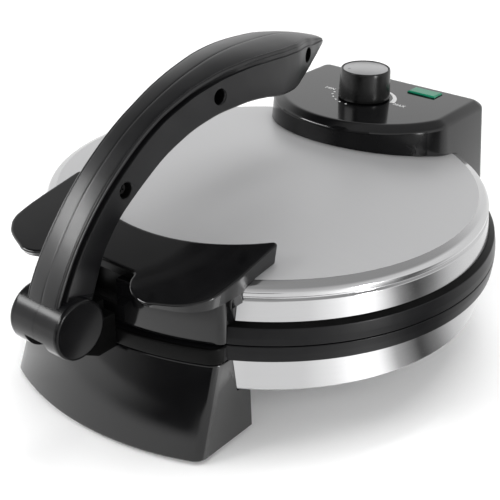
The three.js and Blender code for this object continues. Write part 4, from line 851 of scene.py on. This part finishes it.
def make_housing():
    levels = [(0.8, 0.6), (1.1, 0.15), (1.6, 0), (51.6, 0), (52.4, 0.12), (53.2, 0.45), (53.9, 1.0),
              (54.4, 1.6), (54.8, 2.2), (56.1, 4.2), (56.55, 5.0), (56.85, 5.8), (HOUSING_TOP, 6.8),
              (HOUSING_TOP, 8.0)]
    flare = 0.078 / 54
    loops = [[(x * (1 + flare * max(54 - z, 0)), y, z) for x, y in housing_outline(distance)]
             for z, distance in levels]
    body = Shape().rings(loops)
    piece = made("control_housing_body", body, gloss_black, "lid", ["control_housing"])
    rims = [(139.7, RING_TOP), (138.3, 23.4), (138.0, 26), (138, 28), (136.2, 31),
            (CROWN_EDGE, crown_height(CROWN_EDGE))]
    lid_room = Shape().spindle([
        (0, -5), (RING_ROOM, -5), (RING_ROOM, 11.8), *[(r + 0.3, z + 0.1) for r, z in rims],
        *[(r, z + 0.3) for r, z in crown_run(CROWN_EDGE, 30)[1:]]])
    cut(piece, lid_room)
    cut(piece, Shape().prism(oblong(19.2, 137.7, 38.3, 146.8), [(54, 0), (60, 0)]))
    dressed(piece, gloss_black, 30)
    # The housing's front wall is darkened with the painted shade finish.
    return recoated(piece, front_wall_painted_shade,
                    lambda at, facing: at.z < 52.8 and facing.y < -0.5 and abs(facing.z) < 0.4)


def make_lens():
    levels = [(57.1, 1.0), (57.1, 0.2), (57.3, 0), (57.6, 0), (58.1, 0.5), (58.35, 1.0), (58.4, 1.5),
              (58.4, 2.4)]
    lens = Shape().prism(oblong(18, 136.5, 39.5, 148), levels)
    piece = made("indicator_lens_body", lens, green_lens, "lid", ["indicator_lens"])
    return dressed(piece, green_lens, 20)


KNOB = (0, 108.7)
KNOB_STEPS = 160


def make_knob():
    profile = [(0, 57.7), (17.2, 57.7), (17.7, 57.9), (17.8, 58.3), (17.75, 60.5), (16.95, 76.0),
               (16.8, 77.2), (16.55, 77.75), (16.1, 78.0), (15.75, 77.95), (15.6, 77.7), (15.55, 76.9),
               (0, 76.9)]
    knob = Shape().spindle(profile, centre=(*KNOB, 0), steps=KNOB_STEPS)
    piece = made("knob_body", knob, knob_black, "control_knob", ["knob"])
    return dressed(piece, knob_black, 30)


def make_knob_cap():
    profile = [(0, 76.95), (15.3, 76.95), (15.35, 77.3), (15.2, 77.55), (14.8, 77.7), (0, 77.75)]
    cap = Shape().spindle(profile, centre=(*KNOB, 0), steps=KNOB_STEPS)
    piece = made("knob_cap_body", cap, cap_grey, "control_knob", ["knob_cap"])
    dimple = Shape().spindle([(0, 77.3), (1.0, 77.4), (1.3, 77.8), (1.3, 79), (0, 79)],
                             centre=(*around(11.3, 226, KNOB), 0), steps=32)
    cut(piece, dimple)
    return dressed(piece, cap_grey, 30)


def flat_word(word, left, base, width, height):
    """A word as thin closed letters on the housing: (vertices, faces) in plate millimetres."""
    curve = bpy.data.curves.new("word", "FONT")
    curve.body = word
    curve.resolution_u = 3
    curve.extrude = 0.01
    holder = placed("word", curve)
    letters = plain_mesh(holder)
    bpy.data.objects.remove(holder)
    xs = [v.co.x for v in letters.vertices]
    ys = [v.co.y for v in letters.vertices]
    across, up = width / (max(xs) - min(xs)), height / (max(ys) - min(ys))
    level = HOUSING_TOP + 0.04
    verts = [(left + (v.co.x - min(xs)) * across, base + (v.co.y - min(ys)) * up, level + v.co.z * 3)
             for v in letters.vertices]
    faces = [tuple(face.vertices) for face in letters.polygons]
    bpy.data.meshes.remove(letters)
    return verts, faces


def make_dial_marks():
    """The printed scale: a crescent that widens clockwise, and its two end words."""
    start, end, steps = 128, 5, 48
    under, over = HOUSING_TOP + 0.01, HOUSING_TOP + 0.07
    loops = []
    for k in range(steps + 1):
        share = k / steps
        angle = start + (end - start) * share
        middle = 20.8 + 0.5 * share
        half = 0.25 + 1.5 * share ** 1.2
        outer, inner = (around(radius, angle, KNOB) for radius in (middle + half, middle - half))
        loops.append([(*outer, under), (*inner, under), (*inner, over), (*outer, over)])
    marks = Shape().rings(loops)
    marks.add(*flat_word("MIN", -32, 107.4, 7.6, 3.2))
    marks.add(*flat_word("MAX", 23.8, 107.9, 8.6, 3.4))
    return made("dial_marks", marks, dial_print, "lid")


make_housing()
make_lens()
make_knob()
make_knob_cap()
make_dial_marks()


# What repeats: screws, foot pads and dial dots, each set on its places by a node tree

def new_tree(name, sizes):
    """A tree with its inputs: the places, the sizes, the tilt, the seed and the finish."""
    tree = bpy.data.node_groups.new(name, "GeometryNodeTree")
    sockets = [("Geometry", "Geometry"), *[(size, "Float") for size in sizes]]
    sockets += [("Tilt", "Vector"), ("Seed", "Int"), ("Finish", "Material")]
    for title, kind in sockets:
        tree.interface.new_socket(title, in_out="INPUT", socket_type="NodeSocket" + kind)
    tree.interface.new_socket("Geometry", in_out="OUTPUT", socket_type="NodeSocketGeometry")
    return tree, tree.nodes.new("NodeGroupInput").outputs


def times(tree, socket, factor):
    return worked_out(tree, "MULTIPLY", socket, factor)


def raised(tree, form, height):
    place = step(tree, "ShaderNodeCombineXYZ", {"Z": height})
    return step(tree, "GeometryNodeTransform", {"Geometry": form, "Translation": place})


def set_on_places(tree, entry, form):
    """Puts the form on every place, each turned about its own axis by chance, and gives them their finish."""
    tilt = step(tree, "FunctionNodeEulerToRotation", {"Euler": entry["Tilt"]})
    chance = step(tree, "FunctionNodeRandomValue", {2: 0.0, 3: math.pi / 2, "Seed": entry["Seed"]}, 1,
                  data_type="FLOAT")
    spin = step(tree, "FunctionNodeAxisAngleToRotation", {"Axis": (0, 0, 1), "Angle": chance})
    turn = step(tree, "FunctionNodeRotateRotation", {"Rotation": tilt, "Rotate By": spin},
                rotation_space="LOCAL")
    copies = step(tree, "GeometryNodeInstanceOnPoints",
                  {"Points": entry["Geometry"], "Instance": form, "Rotation": turn})
    plain = step(tree, "GeometryNodeRealizeInstances", {"Geometry": copies})
    coated = step(tree, "GeometryNodeSetMaterial", {"Geometry": plain, "Material": entry["Finish"]})
    tree.links.new(coated, tree.nodes.new("NodeGroupOutput").inputs["Geometry"])
    return tree


def screw_tree():
    """A cross-slot screw whose head's top is at its place."""
    sizes = ["Head Radius", "Head Height", "Shank Radius", "Shank Length", "Slot Width"]
    tree, entry = new_tree("cross_slot_screw", sizes)
    radius, height, neck, length, slot_width = (entry[size] for size in sizes)
    head = step(tree, "GeometryNodeMeshCone", {
        "Vertices": 40, "Radius Top": times(tree, radius, 0.82), "Radius Bottom": radius, "Depth": height})
    shank = step(tree, "GeometryNodeMeshCylinder", {"Vertices": 20, "Radius": neck, "Depth": length})
    down = worked_out(tree, "ADD", length, height)
    body = tree.nodes.new("GeometryNodeMeshBoolean")
    body.operation = "UNION"
    for part, drop in ((head, times(tree, height, -1.0)), (shank, times(tree, down, -0.52))):
        tree.links.new(raised(tree, part, drop), body.inputs["Mesh 2"])
    long_side = times(tree, radius, 1.1)
    along = step(tree, "ShaderNodeCombineXYZ", {"X": slot_width, "Y": long_side, "Z": height})
    across = step(tree, "ShaderNodeCombineXYZ",
                  {"X": long_side, "Y": slot_width, "Z": times(tree, height, 0.93)})
    form = body.outputs["Mesh"]
    for size in (along, across):
        bar = step(tree, "GeometryNodeMeshCube", {"Size": size})
        form = step(tree, "GeometryNodeMeshBoolean", {"Mesh 1": form, "Mesh 2": bar}, operation="DIFFERENCE")
    return set_on_places(tree, entry, form)


def disc_tree():
    """A flat round pad that narrows to its face, which is at its place."""
    sizes = ["Radius", "Height", "Taper"]
    tree, entry = new_tree("round_pad", sizes)
    radius, height, taper = (entry[size] for size in sizes)
    narrow = worked_out(tree, "SUBTRACT", radius, taper)
    disc = step(tree, "GeometryNodeMeshCone",
                {"Vertices": 48, "Radius Top": narrow, "Radius Bottom": radius, "Depth": height})
    return set_on_places(tree, entry, raised(tree, disc, times(tree, height, -1.0)))


def set_out(name, tree, places, look, body, nodes=(), slot=None, tilt=(0, 0, 0), seed=7, **sizes):
    """Runs a tree over the places and keeps the result as a plain mesh."""
    spots = mesh_of(name, places)
    piece = placed(name, spots)
    modifier = piece.modifiers.new("set_out", "NODES")
    modifier.node_group = tree
    values = {"Tilt": tilt, "Seed": seed, "Finish": look}
    values.update({key.replace("_", " ").title(): value * MM for key, value in sizes.items()})
    for item in tree.interface.items_tree:
        if item.item_type == "SOCKET" and item.in_out == "INPUT" and item.name in values:
            modifier[item.identifier] = values[item.name]
    plain = plain_mesh(piece)
    piece.modifiers.remove(modifier)
    piece.data = plain
    bpy.data.meshes.remove(spots)
    return handed_over(dressed(piece, look, 30), body, nodes)


def face_centre(node, axis, side):
    """The middle of the box face of a node that looks along an axis."""
    low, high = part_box(node)
    place = (low + high) / 2
    place[axis] = high[axis] if side > 0 else low[axis]
    return place


UP, DOWN, REARWARDS, RIGHT = (0, 0, 0), (math.pi, 0, 0), (-math.pi / 2, 0, 0), (0, math.pi / 2, 0)
SCREW_HEAD_HEIGHT, SCREW_SHANK, SCREW_SLOT = 2.4, 1.9, 0.9


def set_screws(name, nodes, axis, side, tilt, body, seed, head=3.8, look=screw_steel):
    low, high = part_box(nodes[0])
    length = (high[axis] - low[axis]) / MM - SCREW_HEAD_HEIGHT
    places = [face_centre(node, axis, side) for node in nodes]
    return set_out(name, cross_slot_screw, places, look, body, nodes, "screw_steel", tilt, seed,
                   head_radius=head, head_height=SCREW_HEAD_HEIGHT, shank_radius=SCREW_SHANK,
                   shank_length=length, slot_width=SCREW_SLOT)


cross_slot_screw = screw_tree()
round_pad = disc_tree()
set_screws("lower_plate_screws", ["lower_plate_screw_1", "lower_plate_screw_2", "lower_plate_screw_3"],
           2, -1, DOWN, "base", 1)
set_screws("upper_plate_screws", ["upper_plate_screw_1", "upper_plate_screw_2", "upper_plate_screw_3"],
           2, 1, UP, "lid", 2)
set_screws("foot_cover_screws", ["front_cover_screw_left", "front_cover_screw_right", "rear_cover_screw_left",
                                 "rear_cover_screw_right"], 2, -1, DOWN, "base", 3)
set_screws("bracket_screws", ["bracket_screw_left", "bracket_screw_right"], 1, 1, REARWARDS, "base", 4)
set_screws("grip_screws", ["grip_screw_left", "grip_screw_right"], 2, -1, DOWN, "lid", 5, head=3.6)
set_screws("lever_screws", ["lever_screw_1", "lever_screw_2", "lever_screw_3"], 0, 1, RIGHT, "lever", 6,
           head=3.6, look=screw_black)
PADS = ["foot_pad_front_left", "foot_pad_front_right", "foot_pad_rear_left", "foot_pad_rear_right"]
pad_places = [face_centre(pad, 2, -1) for pad in PADS]
set_out("foot_pads", round_pad, pad_places, rubber_black, "base", PADS, "rubber", DOWN,
        radius=8, height=2.2, taper=0.5)
# The dots of the dial, each by its angle and its distance from the knob's axis
DIAL_DOTS = [(-169, 22.1), (-157, 22.1), (-143, 21.3), (-127, 20.6), (-112, 20.2), (-95, 20.0)]
dot_places = [to_frame(*around(reach, angle, KNOB), HOUSING_TOP + 0.08) for angle, reach in DIAL_DOTS]
set_out("dial_dots", round_pad, dot_places, dial_print, "lid", radius=0.75, height=0.07, taper=0.02)


# Remaining solids: the outer ones get soft edges, the inner ones keep their own shape

def eased_copy(name, node, material, body, width):
    """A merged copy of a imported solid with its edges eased."""
    piece = placed(name, reworked(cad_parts[node].data.copy(), merge_flats))
    bevelled(piece, width, segments=2, angle=40)
    return handed_over(dressed(piece, material, 32), body, [node])


eased_copy("rear_foot_body", "rear_foot", gloss_black, "base", 0.8)
eased_copy("hinge_block_body", "lid_hinge_block", gloss_black, "lid", 0.5)
eased_copy("cord_outlet_body", "cord_gland", rubber_black, "base", 0.4)

# The inner solids' finishes, by a word in their names
PIECE_LOOKS = [
    ("plate", non_stick), ("element", element_steel), ("heat_shield", shield_metal), ("fuse", white_ceramic),
    ("terminal", white_ceramic), ("pin", screw_steel), ("shaft", screw_steel), ("cover", lever_black),
    ("thermostat", shield_metal), ("lamp", lamp_glass),
]


def look_for(name):
    for word, look in PIECE_LOOKS:
        if word in name:
            return look
    return gloss_black


for name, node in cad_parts.items():
    if not node.hide_render:
        node.data.materials.clear()
        node.data.materials.append(look_for(name))


# Studio

def seen_rays(tree):
    """One for camera, glossy and transmission rays, so that metal and glass show what the camera sees."""
    rays = tree.nodes.new("ShaderNodeLightPath").outputs
    direct = worked_out(tree, "MAXIMUM", rays["Is Camera Ray"], rays["Is Glossy Ray"])
    return worked_out(tree, "MAXIMUM", direct, rays["Is Transmission Ray"])


FLOOR_HALF = 6.0


def pale_floor():
    """A wide pale floor that turns plain white far from the maker."""
    corners = [(x, y, 0) for x, y in oblong(-FLOOR_HALF, -FLOOR_HALF, FLOOR_HALF, FLOOR_HALF)]
    floor = placed("floor", mesh_of("floor", corners, [(0, 1, 2, 3)]))
    pale = shader("pale_floor", grey(0.93), 0.6)
    tree = pale.node_tree
    place = step(tree, "ShaderNodeTexCoord", out="Object")
    reach = step(tree, "ShaderNodeVectorMath", {0: place}, "Value", operation="LENGTH")
    share = worked_out(tree, "MULTIPLY", way_along(tree, reach, 0.9, 2.2), seen_rays(tree))
    white = step(tree, "ShaderNodeEmission", {"Strength": 1.0})
    matt = tree.nodes["Principled BSDF"].outputs["BSDF"]
    mix = step(tree, "ShaderNodeMixShader", {"Fac": share, 1: matt, 2: white})
    tree.links.new(mix, tree.nodes["Material Output"].inputs["Surface"])
    floor.data.materials.append(pale)


# The cards' light by direction, in degrees about the frame's upright axis from +X
REFLECTOR_PEAK = 2.5
REFLECTOR_NEAR = [(-180, 1.3), (-150, 1.6), (-134, 1.9), (-127, 2.1), (-116, 1.6), (-94, 1.4), (-75, 1.3),
                  (-56, 1.0), (-37, 1.03), (-27, 1.4), (-17, 2.2), (-10, 1.7), (-4, 0.6), (6, 0.08),
                  (14, 0.3), (24, 0.8), (34, 1.0), (180, 1.3)]
REFLECTOR_FAR = [(-180, 1.3), (-150, 1.7), (-120, 1.4), (-107, 1.0), (-97, 0.4), (-88, 0.06), (-76, 0.06),
                 (-66, 0.7), (-57, 1.0), (-34, 1.05), (-22, 1.45), (-11, 2.2), (-4, 1.5), (4, 0.4),
                 (12, 0.06), (21, 0.25), (31, 0.75), (42, 0.98), (140, 1.0), (180, 1.3)]
FLAG = [(-180, 1.6), (-168, 1.9), (-157, 2.0), (-145, 1.7), (-134, 1.25), (-122, 0.8), (-110, 0.4),
        (-98, 0.12), (-86, 0.03), (-50, 0.03), (-44, 0.6), (180, 1.0)]


def glossy_card(name, edges, angles, near_levels, far_levels):
    """A card between two level edges that only shows in the maker's glossy surfaces, lit by direction."""
    count = len(angles)
    verts = [(*around(radius, angle), height) for radius, height in edges for angle in angles]
    faces = [(k, k + 1, count + k + 1, count + k) for k in range(count - 1)]
    card = placed(name, mesh_of(name, verts, faces))
    glow = bpy.data.materials.new(name + "_glow")
    glow.use_nodes = True
    tree = glow.node_tree
    tree.nodes.clear()
    place = step(tree, "ShaderNodeTexCoord", out="Object")
    direction = step(tree, "ShaderNodeTexGradient", {"Vector": place}, "Color", gradient_type="RADIAL")
    rings = []
    for levels in (near_levels, far_levels):
        stops = [((angle + 180) / 360, grey(level / REFLECTOR_PEAK)) for angle, level in levels]
        rings.append(ramp(tree, direction, stops))
    reach = step(tree, "ShaderNodeVectorMath", {0: place}, "Value", operation="LENGTH")
    share = way_along(tree, reach, 0.25, 0.37)
    blend = step(tree, "ShaderNodeMixRGB", {"Fac": share, "Color1": rings[0], "Color2": rings[1]})
    light = step(tree, "ShaderNodeEmission", {"Color": blend, "Strength": REFLECTOR_PEAK})
    tree.links.new(light, tree.nodes.new("ShaderNodeOutputMaterial").inputs["Surface"])
    card.data.materials.append(glow)
    for rays in ("camera", "diffuse", "shadow", "transmission"):
        setattr(card, "visible_" + rays, False)


def surroundings():
    """A pale backdrop that also shows in metal, glass and gloss, and an even light for the rest."""
    world = bpy.data.worlds.new("studio")
    world.use_nodes = True
    bpy.context.scene.world = world
    tree = world.node_tree
    tree.nodes.clear()
    split = tree.nodes.new("ShaderNodeSeparateXYZ")
    tree.links.new(step(tree, "ShaderNodeTexCoord", out="Generated"), split.inputs["Vector"])
    across, height = split.outputs["X"], split.outputs["Z"]
    levels = [(0.0, 1.0), (0.36, 1.0), (0.5, 0.82), (0.64, 0.5), (0.78, 0.42), (1.0, 0.42)]
    sky = ramp(tree, height, [(place, grey(level)) for place, level in levels])
    left = worked_out(tree, "SUBTRACT", 1.0, way_along(tree, across, -0.42, -0.2))
    shade = worked_out(tree, "MULTIPLY", left, way_along(tree, height, 0.55, 0.8, 0.0, 0.95))
    keep = worked_out(tree, "SUBTRACT", 1.0, shade)
    dimmed = step(tree, "ShaderNodeVectorMath", {0: sky, "Scale": keep}, operation="SCALE")
    seen = step(tree, "ShaderNodeBackground", {"Color": dimmed, "Strength": 1.0})
    light = step(tree, "ShaderNodeBackground", {"Color": (*grey(0.9), 1), "Strength": 0.62})
    mix = step(tree, "ShaderNodeMixShader", {"Fac": seen_rays(tree), 1: light, 2: seen})
    tree.links.new(mix, tree.nodes.new("ShaderNodeOutputWorld").inputs["Surface"])


def softbox(name, azimuth, elevation, distance, size, power, glossy=True):
    """An area lamp that faces the maker from an azimuth and an elevation, in degrees."""
    a, e = math.radians(azimuth), math.radians(elevation)
    aim = Vector((0, 0, 0.1))
    place = Vector((math.cos(e) * math.cos(a), math.cos(e) * math.sin(a), math.sin(e))) * distance + aim
    lamp = bpy.data.lights.new(name, "AREA")
    lamp.shape = "RECTANGLE"
    lamp.size, lamp.size_y = size
    lamp.energy = power
    holder = placed(name, lamp)
    holder.location = place
    holder.rotation_euler = (aim - place).to_track_quat("-Z", "Y").to_euler()
    holder.visible_glossy = glossy


def studio():
    bpy.context.scene.view_settings.view_transform = "Standard"
    pale_floor()
    glossy_card("reflector", [(0.15, 0.0006), (2.5, 0.0006)], range(0, 361, 5), REFLECTOR_NEAR, REFLECTOR_FAR)
    glossy_card("upright_card", [(1.6, 0.001), (1.6, 0.36)], range(-175, -44, 5), FLAG, FLAG)
    surroundings()
    softbox("key", -133, 32, 1.3, (0.9, 0.28), 9)
    softbox("strip", -6, 4, 1.6, (0.16, 0.5), 9)
    softbox("fill", -35, 30, 1.5, (0.9, 0.6), 5, glossy=False)
    softbox("top", 90, 75, 1.7, (1.4, 1.0), 20, glossy=False)


def camera():
    """The view of the photograph, as fitted to it."""
    forward = Vector((-0.5486, 0.6952, -0.4645)).normalized()
    right = forward.cross(Vector((0, 0, 1))).normalized()
    up = right.cross(forward)
    roll = math.radians(0.64)
    across = right * math.cos(roll) + up * math.sin(roll)
    above = up * math.cos(roll) - right * math.sin(roll)
    lens = bpy.data.cameras.new("photo_view")
    lens.lens = 75.59
    lens.sensor_width = 36
    lens.clip_start = 0.01
    holder = placed("photo_view", lens)
    turn = Matrix((across, above, -forward)).transposed().to_4x4()
    holder.matrix_world = Matrix.Translation((0.3686, -0.46876, 0.365)) @ turn
    bpy.context.scene.camera = holder


studio()
camera()
